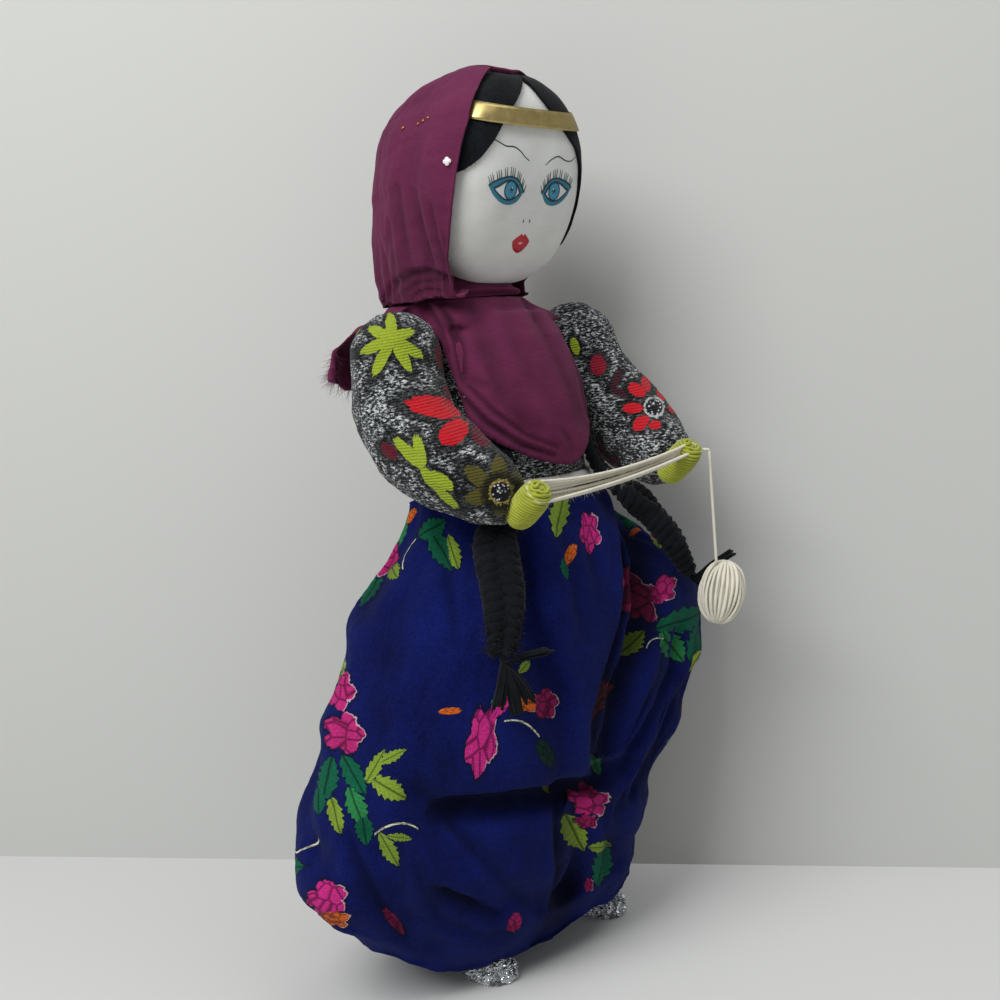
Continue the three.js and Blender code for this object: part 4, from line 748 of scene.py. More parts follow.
for t in np.linspace(0, 1, band_columns):
    across = band_left + (band_right - band_left) * t
    middle_rise = np.interp(across, *band_rise)
    column = []
    for u in np.linspace(-1, 1, band_rows):
        height = middle_rise + band_half_width * u
        at = ring_at(head_skin, height, band_stand_off)
        reach = np.abs(at(np.array([0.0])))[0, 0]
        turn_at = angle_where(at, lambda p: p[:, 0], np.clip(across, 0.25 - reach, reach - 0.25),
                              np.pi, 2 * np.pi)
        point = at(np.array([turn_at]))[0]
        crease = 0.5 * math.exp(-((across + 18) / 1.5) ** 2) + 0.25 * math.sin(across * 0.42)
        point[1] -= 0.25 + 0.35 * crease
        column.append(point)
    strip.append(column)
strip = bowed(np.array(strip)).reshape(-1, 3)
band = sheet_piece("gold_foil_band", strip, (band_columns, band_rows), gold_foil, head_centre,
                   0.0004, offset=0, closed=False)
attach(band, "head_and_hood")
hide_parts("headband")

# Hood: the upper part of a plum headscarf of fine woven cotton. It is drawn over the head,
# hangs free beside the face and falls in soft folds to the neck.
def dim_in_folds(tree, surface, colour, least):
    """Colours a surface and darkens it with painted shade that each piece stores, down to the least
    share of its colour, as deep in its folds."""
    painted_shade_share = node(tree, "Attribute", {}, attribute_name="in_fold").outputs["Fac"]
    dim = node(tree, "MapRange", {0: painted_shade_share, 3: 1.0, 4: least}).outputs[0]
    node(tree, "VectorMath", {0: colour, "Scale": dim}, {0: surface.inputs["Base Color"]},
         operation="SCALE")


def scarf_finish(name):
    """Fine plain weave in plum: threads 0.3 mm apart, drawn at 0.6 mm, with slubs and a sheen."""
    material, tree, surface = finish_called(name, 0.75, sheen=0.22)
    surface.inputs["Sheen Tint"].default_value = linear("#c58ca8")
    place = node(tree, "TexCoord", {}).outputs["Object"]
    cloud = node(tree, "TexNoise", {"Vector": place, "Scale": 45, "Detail": 4})
    slub = node(tree, "TexNoise", {"Vector": node(
        tree, "Mapping", {"Vector": place, "Scale": (1, 1, 9)}).outputs[0], "Scale": 260, "Detail": 2})
    tone = node(tree, "Mix", {0: cloud.outputs[0], 6: linear("#541a3a"), 7: linear("#6d284c")},
                data_type="RGBA")
    level_of = node(tree, "MapRange", {0: slub.outputs[0], 1: 0.35, 2: 0.75, 3: 0, 4: 0.4})
    deep = node(tree, "Mix", {0: level_of.outputs[0], 6: tone.outputs[2], 7: linear("#3f122b")},
                data_type="RGBA")
    # painted shade: darker where a piece stores it, in its creases and low on the hood, down to 0.3 of
    # the colour
    dim_in_folds(tree, surface, deep.outputs[2], 0.3)
    rough = node(tree, "Math", {0: weave(tree, place, 0.0006, 1.0), 1: slub.outputs[0]},
                 operation="ADD")
    node(tree, "Bump", {"Height": rough.outputs[0], "Strength": 0.3, "Distance": 0.0003},
         {0: surface.inputs["Normal"]})
    return material


plum_cloth = scarf_finish("plum_scarf_cloth")
hood_grow, hood_cloth, hood_slack_side, hood_slack_back = 3.0, 1.4, 2.2, 9
hood_turn = math.radians(18)
hood_foot_z, hood_middle = 339.5, (0, 4, 60)


def ease(low, high, value):
    """Soft step from 0 to 1 as the value goes from one bound to the other."""
    share = np.clip((value - low) / (high - low), 0, 1)
    return share * share * (3 - 2 * share)


def hood_skin(angle, rise, grow):
    """The hood's outer face at angles round the upright head and heights up it, in mm."""
    half = head_half_height + hood_grow + grow
    share = np.minimum((rise - head_middle_rise) / half, 0.9985)
    crown = np.where(share > 0, (1 - np.maximum(share, 0) ** 2.15) ** (1 / 2.15), 1)
    fall = np.maximum(0, -share)
    slack = ease(0.95, 0.3, share)
    wide = (head_half_width + hood_grow + hood_slack_side * slack - 4 * fall ** 2 + grow) * crown
    jaw = (1 - np.minimum(fall, 0.93) ** 2.6) ** (1 / 2.6)
    left = np.maximum((head_half_width + hood_grow) * jaw, 21.4) + grow
    front = (face_depth + hood_grow + grow) * crown ** 0.6
    back = (head_back + hood_grow + hood_slack_back * slack - 8 * fall ** 2 + grow) * crown
    is_front = np.sin(angle) < 0
    power = np.where(is_front, 3.6, 2.2 + 0.4 * slack)
    reach = np.where((np.cos(angle) > 0) & (share < 0), left, wide)
    return np.stack((reach * rounded(np.cos(angle), power),
                     np.where(is_front, front, back) * rounded(np.sin(angle), power),
                     rise + 0 * angle), axis=-1)


def merge_close(piece, distance):
    """Joins corners that fall together, as where a sheet closes on itself."""
    with mesh_open(piece) as bm:
        bmesh.ops.remove_doubles(bm, verts=bm.verts, dist=distance)


def grid_normals(points, count):
    """Outward directions on a closed grid of points, in rows of the given count."""
    grid = points.reshape(-1, count, 3)
    round_way = np.roll(grid, -1, axis=1) - np.roll(grid, 1, axis=1)
    up_way = np.gradient(grid, axis=0)
    out = np.cross(round_way, up_way).reshape(-1, 3)
    out /= np.linalg.norm(out, axis=1)[:, None] + 1e-12
    inside = points.mean(axis=0)
    return out if ((points - inside) * out).sum() > 0 else -out


def picture_fold(seen, line, depth, left_reach, right_reach):
    """How much a crease along a line of the picture draws cloth in. Going along the line, it
    fades over left_reach pixels on its left and right_reach on its right."""
    line = np.asarray(line, float)
    best = np.full(len(seen), np.inf)
    value = np.zeros(len(seen))
    for i, (a, b) in enumerate(zip(line[:-1], line[1:])):
        way = b - a
        share = np.clip((seen - a) @ way / (way @ way), 0, 1)
        off = seen - a - share[:, None] * way
        away = np.linalg.norm(off, axis=1)
        on_right = way[0] * off[:, 1] - way[1] * off[:, 0] > 0
        reach = np.where(on_right, right_reach, left_reach)
        along_it = (i + share) / (len(line) - 1)
        fade = np.sin(np.pi * np.clip(0.12 + 0.76 * along_it, 0, 1)) ** 0.5
        here = depth * fade * np.exp(-(away / reach) ** 2)
        value = np.where(away < best, here, value)
        best = np.minimum(best, away)
    return value


def drawn_by(creases, seen, facing):
    """How far creases draw cloth in, in mm, where it is seen and turned to the camera. Each has
    its line in the picture, its depth in mm and its reach on its left and right in pixels."""
    depths = [picture_fold(seen, *crease) for crease in creases]
    return np.max(depths, axis=0) * facing


def turned_to_camera(points, outward):
    """How squarely a surface faces the camera: 1 square on, 0 edge on, less than 0 away."""
    sight = camera_place - points
    return (sight * outward).sum(axis=1) / np.linalg.norm(sight, axis=1)


def forward(points):
    """How far points lie behind the head's middle along the way that the hood opens, in mm."""
    return -points[:, 0] * math.sin(hood_turn) + points[:, 1] * math.cos(hood_turn)


def foot_rise_at(y):
    """Height on the upright head of the level plane where the hood ends, in mm."""
    return ((hood_foot_z - head_joint[2]) - y * math.sin(head_tilt)) / math.cos(head_tilt)


hood_edge_at = ([-20, 2, 30, 76, 94, 108, 118], [-24, -21, -13.0, -13, -12, -8, -3.0])
hood_rows, hood_columns, hood_top = 150, 220, 116.9
rows = []
for t in np.linspace(0, 1, hood_rows):
    height = hood_top * math.sin(t * math.pi / 2) if t < 1 else hood_top
    at = ring_at(hood_skin, height, hood_cloth)
    edge_y = float(np.interp(height, *hood_edge_at))
    first = angle_where(at, forward, edge_y, np.pi + 1e-3, 1.45 * np.pi)
    last = angle_where(at, forward, edge_y, 1.55 * np.pi, 2 * np.pi + 0.35)
    if forward(at(np.array([1.5 * np.pi])))[0] > edge_y:
        first = last = 1.5 * np.pi
    turns = np.linspace(first, last - 2 * np.pi, hood_columns)
    rows.append(at(turns))
hood_grid = np.array(rows)
hood_grid[:, :, 2] = np.maximum(hood_grid[:, :, 2], foot_rise_at(hood_grid[:, :, 1]))
foot = hood_grid[0].copy()
drop_rows = 46
neck_middle = np.array((0.0, 2.0))
skirt = []
for t in np.linspace(1, 0, drop_rows, endpoint=False):
    falling = []
    for c, turn_at in enumerate(np.linspace(0, 1, hood_columns)):
        point = foot[c].copy()
        point[2] = point[2] + (foot_rise_at(point[1]) - point[2]) * t
        gathered = 0.05 + 0.16 * float(ease(0.3, 0.0, turn_at))
        point[:2] = neck_middle + (point[:2] - neck_middle) * (1 - gathered * t * t)
        falling.append(point)
    skirt.append(falling)
hood_grid = np.concatenate((np.array(skirt), hood_grid))
flat = hood_grid.reshape(-1, 3)
column = np.tile(np.linspace(0, 1, hood_columns), len(hood_grid))
height = flat[:, 2]
falls = 1.1 * np.sin(2 * np.pi * (5.5 * column + 0.25 * np.sin(height / 23))) * ease(75, 10, height)
falls += 0.55 * np.sin(2 * np.pi * (13 * column + 0.5)) * ease(40, -6, height)
falls += (0.8 * np.sin(2 * np.pi * (21 * column + 0.012 * height))
          * ease(34, 4, height) * ease(0.5, 0.1, column))
soft = 0.7 * ripples(flat, 34, 51) + 0.22 * ripples(flat, 11, 52)
hem = 0.45 * np.exp(-((column * 2 * np.pi * 45 - 2.2) / 1.4) ** 2)
away = unit((flat - hood_middle) * (1, 1, 0.35))
keep = ease(0, 0.012, column) * ease(1, 0.988, column)
let_in = 0.9  # so that the folds stay inside the hood's outer shape
flat = flat + away * (falls * keep + soft + hem - let_in)[:, None]
hood_creases = [
    ([(384, 298), (393, 283), (408, 273), (428, 270), (446, 277), (460, 286)], 2.6, 2.5, 8),
    ([(396, 300), (406, 289), (420, 281), (438, 281), (450, 286)], 1.9, 2.5, 5),
    ([(409, 301), (418, 292), (431, 289), (445, 292)], 1.4, 2.5, 4),
    ([(399, 190), (402, 225), (409, 262)], 1.7, 3, 8),
    ([(414, 190), (421, 226), (433, 266)], 1.9, 3, 8),
    ([(430, 205), (437, 240), (447, 272)], 1.6, 3, 6),
    ([(388, 220), (391, 250), (396, 276)], 1.3, 3, 6),
    ([(443, 235), (449, 258), (457, 280)], 1.2, 3, 4),
    ([(383, 130), (402, 110), (432, 92)], 0.7, 8, 8),
    ([(420, 130), (414, 160), (413, 190)], 0.6, 8, 10),
]
hood_cloth_points = bowed(flat)
outward = grid_normals(hood_cloth_points, hood_columns)
seen = in_picture(hood_cloth_points)
facing = turned_to_camera(hood_cloth_points, outward)
drawn_in = drawn_by(hood_creases, seen, ease(0.1, 0.4, facing) * keep)
hood_cloth_points = hood_cloth_points - outward * drawn_in[:, None] / 1000
# painted shade: darker deep in the creases, and on the lower hood below the chin where it faces the
# camera
in_fold = np.minimum(1, drawn_in / 3.2 + 0.25 * ease(225, 275, seen[:, 1]) * ease(0, 0.2, facing))
hood = mesh_piece("headscarf_hood_cloth", hood_cloth_points,
                  grid_faces(len(hood_grid), hood_columns, closed=False), plum_cloth,
                  in_fold=in_fold)
merge_close(hood, 0.00002)
outward_faces(hood, bowed(hood_middle))
apply_modifier(hood, "SOLIDIFY", thickness=0.0009, offset=-1)
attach(hood, "head_and_hood")
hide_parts("headscarf_hood")

# Throat: folds of the same plum cotton under the chin and round the nape. They are wound once
# round the neck, tucked in, and turn with the head.
throat_rows, throat_columns = 40, 200
turns = 2 * np.pi * np.arange(throat_columns) / throat_columns
rows = []
for t in np.linspace(0, 1, throat_rows):
    depth = np.where(np.sin(turns) < 0, 25, 45)
    wide = np.where(np.cos(turns) < 0, 37, 19.5)
    tuck = 11 * t ** 2.2
    fold = (1.1 * np.sin(11 * t + 2.2 * np.cos(turns - 0.7))
            + 0.5 * np.sin(19 * t + 3 * np.sin(turns + 0.4))) * (1 - t * 0.4)
    rows.append(np.stack((
        (wide - tuck + fold) * rounded(np.cos(turns), 2.4),
        14 + (depth - tuck + fold) * rounded(np.sin(turns), 2.4),
        339.6 + 15 * t - 2.5 * t * ease(0.2, -1, np.sin(turns))), axis=-1))
throat = sheet_piece("headscarf_throat_folds", placed(np.array(rows).reshape(-1, 3)),
                     (throat_rows, throat_columns), plum_cloth, placed((0, 14, 346)), 0.0008)
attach(throat, "head_and_hood")

# Bead and sequins sewn to the hood beside the face: a pearly four-lobed bead, and the last
# copper sequins of a row
pearl, tree, surface = finish_called("pearly_bead_plastic", 0.25)
surface.inputs["Base Color"].default_value = linear("#ece4e6")
surface.inputs["Coat Weight"].default_value = 0.4
copper, tree, surface = finish_called("copper_sequin_foil", 0.3, metallic=0.9)
surface.inputs["Base Color"].default_value = linear("#b06a4a")


def surface_of(piece):
    """What a ray from the camera meets first on a piece."""
    return BVHTree.FromPolygons([v.co for v in piece.data.vertices],
                                [tuple(p.vertices) for p in piece.data.polygons])


hood_surface = surface_of(hood)


def on_hood(pixel, lift):
    """Where a pixel of the picture falls on the hood, with the way out there."""
    hit, normal, _, _ = hood_surface.ray_cast(Vector(camera_place), Vector(sight_through(pixel)))
    normal = normal if normal.dot(Vector(look)) < 0 else -normal
    return hit + normal * lift, normal


def sewn_on(piece, pixel, lift, material):
    """Stands a piece made at the origin, facing up, on the hood at a pixel."""
    seat, normal = on_hood(pixel, lift)
    turn_to = normal.to_track_quat("Z", "Y").to_matrix().to_4x4()
    piece.data.transform(Matrix.Translation(seat) @ turn_to)
    piece.matrix_world = Matrix.Identity(4)
    piece.data.materials.clear()
    piece.data.materials.append(material)
    piece.data.shade_smooth()
    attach(piece, "head_and_hood")


deselect_all()
bpy.ops.mesh.primitive_uv_sphere_add(segments=32, ring_count=16, radius=0.0021)
bead = bpy.context.object
bead.name = "lobed_bead"
for corner in bead.data.vertices:
    about = math.atan2(corner.co.y, corner.co.x)
    corner.co.xy *= 0.72 + 0.28 * abs(math.cos(2 * about)) ** 0.7
    corner.co.z *= 0.5
sewn_on(bead, (447.5, 161.5), 0.0006, pearl)
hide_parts("scarf_bead")
for i, pixel in enumerate(((423, 121), (418, 124), (403, 128), (428, 118))):
    deselect_all()
    bpy.ops.mesh.primitive_cylinder_add(vertices=14, radius=0.0011 - 0.0002 * (i % 2), depth=0.00025)
    sequin = bpy.context.object
    sequin.name = f"copper_sequin_{i + 1}"
    sequin.data.transform(Matrix.Rotation(0.35 * math.sin(3 * i), 4, "X"))
    sewn_on(sequin, pixel, 0.0004, copper)

# Trousers: two wide pouches of printed blue flannel, gathered at the waist and sagging over
# the feet. Sewn from two lengths of cloth, lightly filled, and creased by their own weight.
trouser_top, trouser_foot, trouser_foot_left = 241.0, 14.0, 26.0
pouch_left_width, pouch_right_width, pouch_front, pouch_back, pouch_sag = 117, 134.5, 67, 68, 8
fold_depth, fold_width, gather_count = 8, 9, 13
leg_x, foot_y = 44.5, {"right": -9, "left": 1}
ankle_room, below_sash = 15.0, 242.4


def eased_through(places, sizes, at):
    """Sizes given at a few places, eased from one to the next."""
    places, sizes = np.asarray(places, float), np.asarray(sizes, float)
    k = np.clip(np.searchsorted(places, at, side="left") - 1, 0, len(places) - 2)
    share = np.clip((at - places[k]) / (places[k + 1] - places[k]), 0, 1)
    return sizes[k] + (sizes[k + 1] - sizes[k]) * (0.5 - 0.5 * np.cos(np.pi * share))


def trouser_underside(x):
    """Height of the cloth's underside across the doll, in mm."""
    foot = trouser_foot + (trouser_foot_left - trouser_foot) * ease(-20, 55, x)
    return foot + 28 * ease(-65, -135, x) + 5 * np.exp(-(x / 18) ** 2)


def trouser_skin(angle, share, drop):
    """The trousers' outer face at angles round them and shares of their height, in mm, drawn in
    by drop from its fullest outline."""
    left = pouch_left_width * eased_through([0, .1, .25, .42, .56, .7, 1],
                                            [.485, .49, .54, .78, .98, 1, .46], share)
    right = pouch_right_width * eased_through([0, .05, .12, .26, .5, .7, 1],
                                              [.78, .93, 1, .97, .87, .73, .395], share)
    ahead = pouch_front * eased_through([0, .1, .25, .5, .7, 1], [.5, .66, .86, 1, .96, .62], share)
    behind = pouch_back * eased_through([0, .08, .25, .5, .75, 1], [.6, .86, 1, .95, .8, .54], share)
    c, s = np.cos(angle), np.sin(angle)
    x = (np.where(c > 0, left, right) - drop) * rounded(c, 2.35)
    y = (np.where(s < 0, ahead, behind) - drop) * rounded(s, 2.35)
    lean = np.where(c < 0, pouch_sag * (1 - ease(0, 0.6, share)) * ease(0, -0.6, c), 0)
    foot = trouser_underside(x)
    return np.stack((x, y + lean, foot + (trouser_top - foot) * share), axis=-1)


fold_lines = [
    (1.1, 1, [(322, .9), (305, .84), (290, .77), (284, .7), (279, .62), (275, .54), (272, .45)]),
    (1.2, .55, [(243, .86), (246, .76), (250, .66), (254, .58)]),
    (0.9, .95, [(226, .38), (238, .385), (252, .375), (266, .37), (276, .37)]),
    (0.9, .8, [(264, .36), (265, .28), (266, .2), (266, .12)]),
    (0.8, .5, [(205, .3), (213, .22), (219, .14), (226, .06)]),
    (0.7, .4, [(216, .4), (230, .31), (240, .22), (248, .16)]),
    (0.7, .55, [(299, .62), (294, .54), (285, .46), (278, .4)]),
    (0.7, .55, [(313, .54), (302, .45), (292, .36), (287, .3)]),
    (1, .6, [(345, .75), (340, .6), (344, .42), (350, .3)]),
    (1, .6, [(22, .8), (28, .62), (20, .45), (8, .34)]),
    (1.1, .7, [(75, .84), (68, .66), (58, .5), (62, .34)]),
    (1.1, .7, [(112, .8), (118, .6), (124, .42), (138, .28)]),
    (1, .5, [(160, .7), (155, .52), (166, .36), (178, .24)]),
    (1, .5, [(92, .3), (106, .22), (126, .16), (146, .14)]),
]


def away_from(line, points):
    """Least distance of points from a line of points."""
    best = np.full(len(points), np.inf)
    for a, b in zip(line[:-1], line[1:]):
        share = np.clip((points - a) @ (b - a) / ((b - a) @ (b - a)), 0, 1)
        best = np.minimum(best, np.linalg.norm(points - a - share[:, None] * (b - a), axis=1))
    return best


def trouser_fall(angle, share):
    """How far the cloth falls inside its fullest outline: waist gathers and the main folds."""
    deepest = fold_depth * (0.15 + 0.85 * ease(0, np.where(np.cos(angle) > 0, 0.45, 0.15), share))
    deepest = deepest * (1 - 0.5 * ease(0.8, 0.94, share))
    here = trouser_skin(angle, share, 0.0)
    fall = np.zeros(len(here))
    for width, depth, places in fold_lines:
        degrees, shares = np.array(places).T
        away = away_from(trouser_skin(np.radians(degrees), shares, 0.0), here)
        fall = np.maximum(fall, depth * fold_depth * np.exp(-(away / (width * fold_width)) ** 2))
    gathers = (0.5 + 0.5 * np.cos(gather_count * angle)) * 2.4 * ease(0.62, 0.95, share)
    return np.minimum(deepest, gathers + fall)


def uneven_round(count, busy, widest):
    """Angles once round, closer together near the busy angle."""
    even = np.linspace(-np.pi, np.pi, 2000)
    weight = 1 + (widest - 1) * np.exp(-(even / 1.25) ** 2)
    far = np.cumsum(weight)
    return busy + np.interp(np.linspace(far[0], far[-1], count + 1)[:-1], far, even)


trouser_columns = 270
trouser_turns = uneven_round(trouser_columns, 1.42 * np.pi, 2.4) % (2 * np.pi)
foot_drop = 0.15 * fold_depth
rows = [trouser_skin(trouser_turns, np.full(trouser_columns, 0.0), foot_drop) * (shrink, shrink, 1)
        for shrink in (0.06, 0.2, 0.34, 0.48, 0.6, 0.7, 0.79, 0.87, 0.94)]
for row in rows:
    row[:, 2] = trouser_underside(row[:, 0])
for share in np.linspace(0, 1, 164):
    shares = np.full(trouser_columns, share)
    rows.append(trouser_skin(trouser_turns, shares, trouser_fall(trouser_turns, shares)))
top = rows[-1]
waist_half_width, waist_front, waist_back = 46.3, 38, 35
waist_depth = np.where(np.sin(trouser_turns) < 0, waist_front, waist_back)
waist = np.stack((waist_half_width * np.cos(trouser_turns), waist_depth * np.sin(trouser_turns),
                  top[:, 2]), axis=-1)
for t in (0.35, 0.7, 1.0):
    row = top + (waist - top) * t
    row[:, 2] = trouser_top + 0.9 * math.sin(math.pi * t)
    rows.append(row)
cloth = placed(np.array(rows).reshape(-1, 3))
cloth_faces = np.array(grid_faces(len(rows), trouser_columns))
trouser_creases = [
    ([(619, 500), (629, 540), (632, 580), (628, 626), (613, 673), (600, 720), (597, 772)], 6.5, 26, 4),
    ([(523, 530), (527, 595), (543, 645), (559, 689), (562, 767)], 2.0, 8, 22),
    ([(444, 804), (480, 801), (509, 796), (562, 787), (606, 779)], 6.0, 3, 17),
    ([(557, 800), (560, 845), (561, 890), (553, 910)], 4.5, 18, 4),
    ([(405, 785), (446, 817), (468, 845), (484, 862), (509, 890), (527, 906)], 2.2, 14, 5),
    ([(444, 892), (462, 899), (492, 910)], 5.5, 3, 13),
    ([(349, 836), (358, 857), (368, 876), (384, 907), (409, 939)], 2.6, 5, 12),
    ([(669, 640), (662, 673), (649, 701), (637, 732), (621, 768), (606, 779)], 3.2, 16, 4),
    ([(683, 684), (665, 720), (656, 751), (637, 782), (621, 807), (615, 822)], 3.2, 16, 4),
    ([(600, 786), (606, 815), (611, 850), (604, 882)], 2.2, 10, 4),
    ([(434, 508), (441, 545), (452, 590), (458, 640)], 2.0, 6, 9),
    ([(405, 524), (392, 552), (372, 588), (360, 620)], 1.4, 7, 9),
    ([(588, 512), (594, 560), (598, 600)], 1.2, 6, 5),
    ([(566, 520), (570, 560), (578, 610), (586, 640)], 1.6, 9, 5),
    ([(605, 512), (612, 545), (614, 580)], 0.9, 5, 4),
    ([(378, 640), (372, 690), (382, 735)], 0.8, 14, 14),
    ([(420, 690), (428, 740), (452, 780)], 1.2, 16, 10),
    ([(330, 800), (322, 840), (326, 872)], 1.2, 10, 10),
    ([(455, 925), (485, 938), (512, 930)], 2.0, 6, 10),
    ([(420, 870), (432, 905), (455, 935)], 1.4, 10, 7),
    ([(572, 815), (578, 850), (580, 885)], 1.5, 6, 6),
    ([(640, 560), (655, 610), (662, 650)], 1.4, 9, 9),
    ([(520, 815), (530, 850), (532, 880)], 0.8, 12, 12),
]
outward = grid_normals(cloth, trouser_columns)
seen = in_picture(cloth)
facing = turned_to_camera(cloth, outward)
front_share = ease(0.02, 0.3, facing)
drawn_in = drawn_by(trouser_creases, seen, front_share)
height = cloth[:, 2] * 1000
soft = (0.9 * ripples(cloth * (1, 1, 0.5), 0.04, 61) + 0.45 * ripples(cloth * (1, 1, 0.5), 0.016, 62)
        + 0.12 * ripples(cloth, 0.006, 63))
side_creases = 1.1 * np.maximum(0, ripples(cloth * (1, 1, 0.35), 0.03, 64)) * (1 - front_share)
out_mm = soft * ease(242, 232, height) - drawn_in - side_creases * ease(236, 215, height)
# painted shade: darker in the creases, in the side creases and in the hollows of the soft ripples
in_fold = np.minimum(1, drawn_in / 4.5 + side_creases / 5 + np.maximum(0, -soft) / 4)
cloth = cloth + outward * (out_mm - 0.4)[:, None] / 1000
cloth[:, 2] = np.minimum(cloth[:, 2], below_sash / 1000)

# The print: roses, leaves, buds and stems in bouquets. Each keeps its place as the cloth hangs,
# and the edges of its shapes are drawn by the finish. Those in front lie as in the picture.
rose, leaf, stem, bud, heart = 1.0, 2.0, 3.0, 4.0, 5.0
pink, magenta, deep_pink, orange = "#b3266f", "#c12a7d", "#8d1d52", "#d2641f"
dark_green, green, lime, cream = "#0d5a3f", "#2a7a45", "#7f9a35", "#d9dcc6"
front_flowers = [  # kind, place in the picture, half length and half width in pixels, lean, colour
    (rose, 341, 691, 15, 21, 10, pink), (rose, 344, 733, 21, 22, -20, pink),
    (rose, 328, 899, 21, 20, 0, magenta), (rose, 334, 918, 18, 9, 8, orange),
    (bud, 396, 925, 19, 6, 55, deep_pink), (rose, 482, 741, 17, 38, 8, magenta),
    (bud, 505, 697, 26, 8, -62, magenta), (rose, 526, 701, 16, 12, 20, orange),
    (rose, 547, 704, 14, 16, 0, deep_pink), (bud, 450, 711, 13, 4, -4, orange),
    (stem, 524, 727, 21, 9, 27, cream), (bud, 546, 753, 17, 9, 60, "#0c2a22"),
    (rose, 591, 531, 11, 21, -8, magenta), (bud, 572, 553, 12, 5, -70, orange),
    (bud, 411, 516, 10, 4, -60, orange), (rose, 643, 594, 18, 31, -20, deep_pink),
    (rose, 665, 589, 12, 17, 20, pink), (bud, 610, 703, 26, 6, -64, "#7a3230"),
    (rose, 592, 801, 22, 18, 12, pink), (rose, 588, 822, 12, 8, 0, deep_pink),
    (bud, 514, 922, 12, 7, -70, deep_pink), (stem, 396, 828, 23, 10, -8, cream),
    (stem, 657, 641, 10, 6, -25, cream), (rose, 590, 886, 5, 8, 0, deep_pink),
]
front_leaves = [
    (leaf, 327, 779, 24, 14, -75, dark_green), (leaf, 353, 775, 25, 13, 60, dark_green),
    (leaf, 356, 806, 24, 13, 70, green), (leaf, 364, 829, 18, 12, 80, dark_green),
    (leaf, 318, 800, 15, 9, 90, dark_green), (leaf, 374, 768, 22, 9, -60, lime),
    (leaf, 391, 757, 18, 7, -28, lime), (leaf, 388, 788, 22, 14, 30, lime),
    (leaf, 334, 815, 21, 11, 75, lime), (leaf, 388, 850, 21, 10, 62, lime),
    (leaf, 399, 838, 14, 6, 10, lime), (leaf, 430, 528, 17, 13, -30, dark_green),
    (leaf, 440, 548, 26, 14, 60, dark_green), (leaf, 452, 551, 20, 11, 70, lime),
    (leaf, 561, 514, 24, 13, -80, lime), (leaf, 566, 568, 12, 6, 80, dark_green),
    (leaf, 683, 620, 28, 16, -20, dark_green), (leaf, 673, 645, 20, 13, 60, green),
    (leaf, 696, 640, 24, 12, -70, dark_green), (leaf, 637, 642, 18, 11, -50, lime),
    (leaf, 698, 661, 13, 8, -60, "#a3b040"), (leaf, 599, 766, 12, 8, 60, green),
    (leaf, 578, 834, 22, 12, 70, lime), (leaf, 604, 866, 23, 13, -75, dark_green),
    (leaf, 602, 849, 14, 8, 0, lime), (leaf, 551, 793, 7, 4, 30, lime),
    (leaf, 525, 667, 9, 6, -45, lime),
    (leaf, 497, 700, 8, 5, -30, green), (leaf, 400, 508, 10, 6, 60, dark_green),
]


def on_flower(dx, dy, near, kind, long, wide, lean, colour):
    """Each corner's place on a flower, in the flower's own measure. near holds the corners that
    it can reach."""
    c, s = math.cos(math.radians(lean)), math.sin(math.radians(lean))
    return (dx * c + dy * s) / long, (dy * c - dx * s) / wide, near, kind, colour


def flower_frame(kind, x, y, *sizes):
    """The corners' places on a flower of the picture, in pixels, on the cloth now in hand."""
    return on_flower(seen[:, 0] - x, seen[:, 1] - y, facing > 0.03, kind, *sizes)


def cloth_frame(at, kind, across, up, *sizes):
    """The same for a flower on a side that the picture doesn't show, in millimetres from a
    corner of the cloth."""
    middle, out = cloth[at], outward[at]
    side_way = np.cross((0, 0, 1), out)
    side_way /= np.linalg.norm(side_way)
    up_way = np.cross(out, side_way)
    off = (cloth - middle) * 1000
    near = ((off ** 2).sum(axis=1) < 60 ** 2) & (outward @ out > 0.2)
    return on_flower(off @ side_way - across, off @ up_way - up, near, kind, *sizes)


upper = [flower_frame(*flower) for flower in front_flowers]
lower = [flower_frame(*flower) for flower in front_leaves]
draw = random.Random(71)
hidden_places = [(345, .84), (332, .36), (10, .6), (350, .2), (30, .86), (38, .33), (58, .6), (72, .88),
                 (80, .2), (95, .52), (108, .8), (120, .3), (138, .6), (150, .87), (152, .16), (20, .1)]
for degrees, share in hidden_places:
    target = placed(trouser_skin(np.radians([degrees]), np.array([share]), 3.0))[0]
    at = int(np.argmin(((cloth - target) ** 2).sum(axis=1)))
    if facing[at] > 0.12:
        continue
    lean = draw.uniform(0, 360)
    for k in range(draw.choice((1, 2))):
        upper.append(cloth_frame(at, rose, 11 * k, -15 * k, 9 + 3 * draw.random(), 9 + 3 * draw.random(),
                                 lean, draw.choice((pink, magenta, deep_pink))))
    upper.append(cloth_frame(at, bud, -14, 12, 7, 2.6, lean + 30, orange))
    upper.append(cloth_frame(at, stem, 16, 13, 9, 4, lean, cream))
    for k in range(5):
        about = math.radians(lean + 72 * k + draw.uniform(-15, 15))
        lower.append(cloth_frame(at, leaf, 15 * math.cos(about), 15 * math.sin(about),
                                 11 + 3 * draw.random(), 5.5 + 1.5 * draw.random(), math.degrees(about),
                                 (dark_green, lime, green, dark_green, lime)[k]))


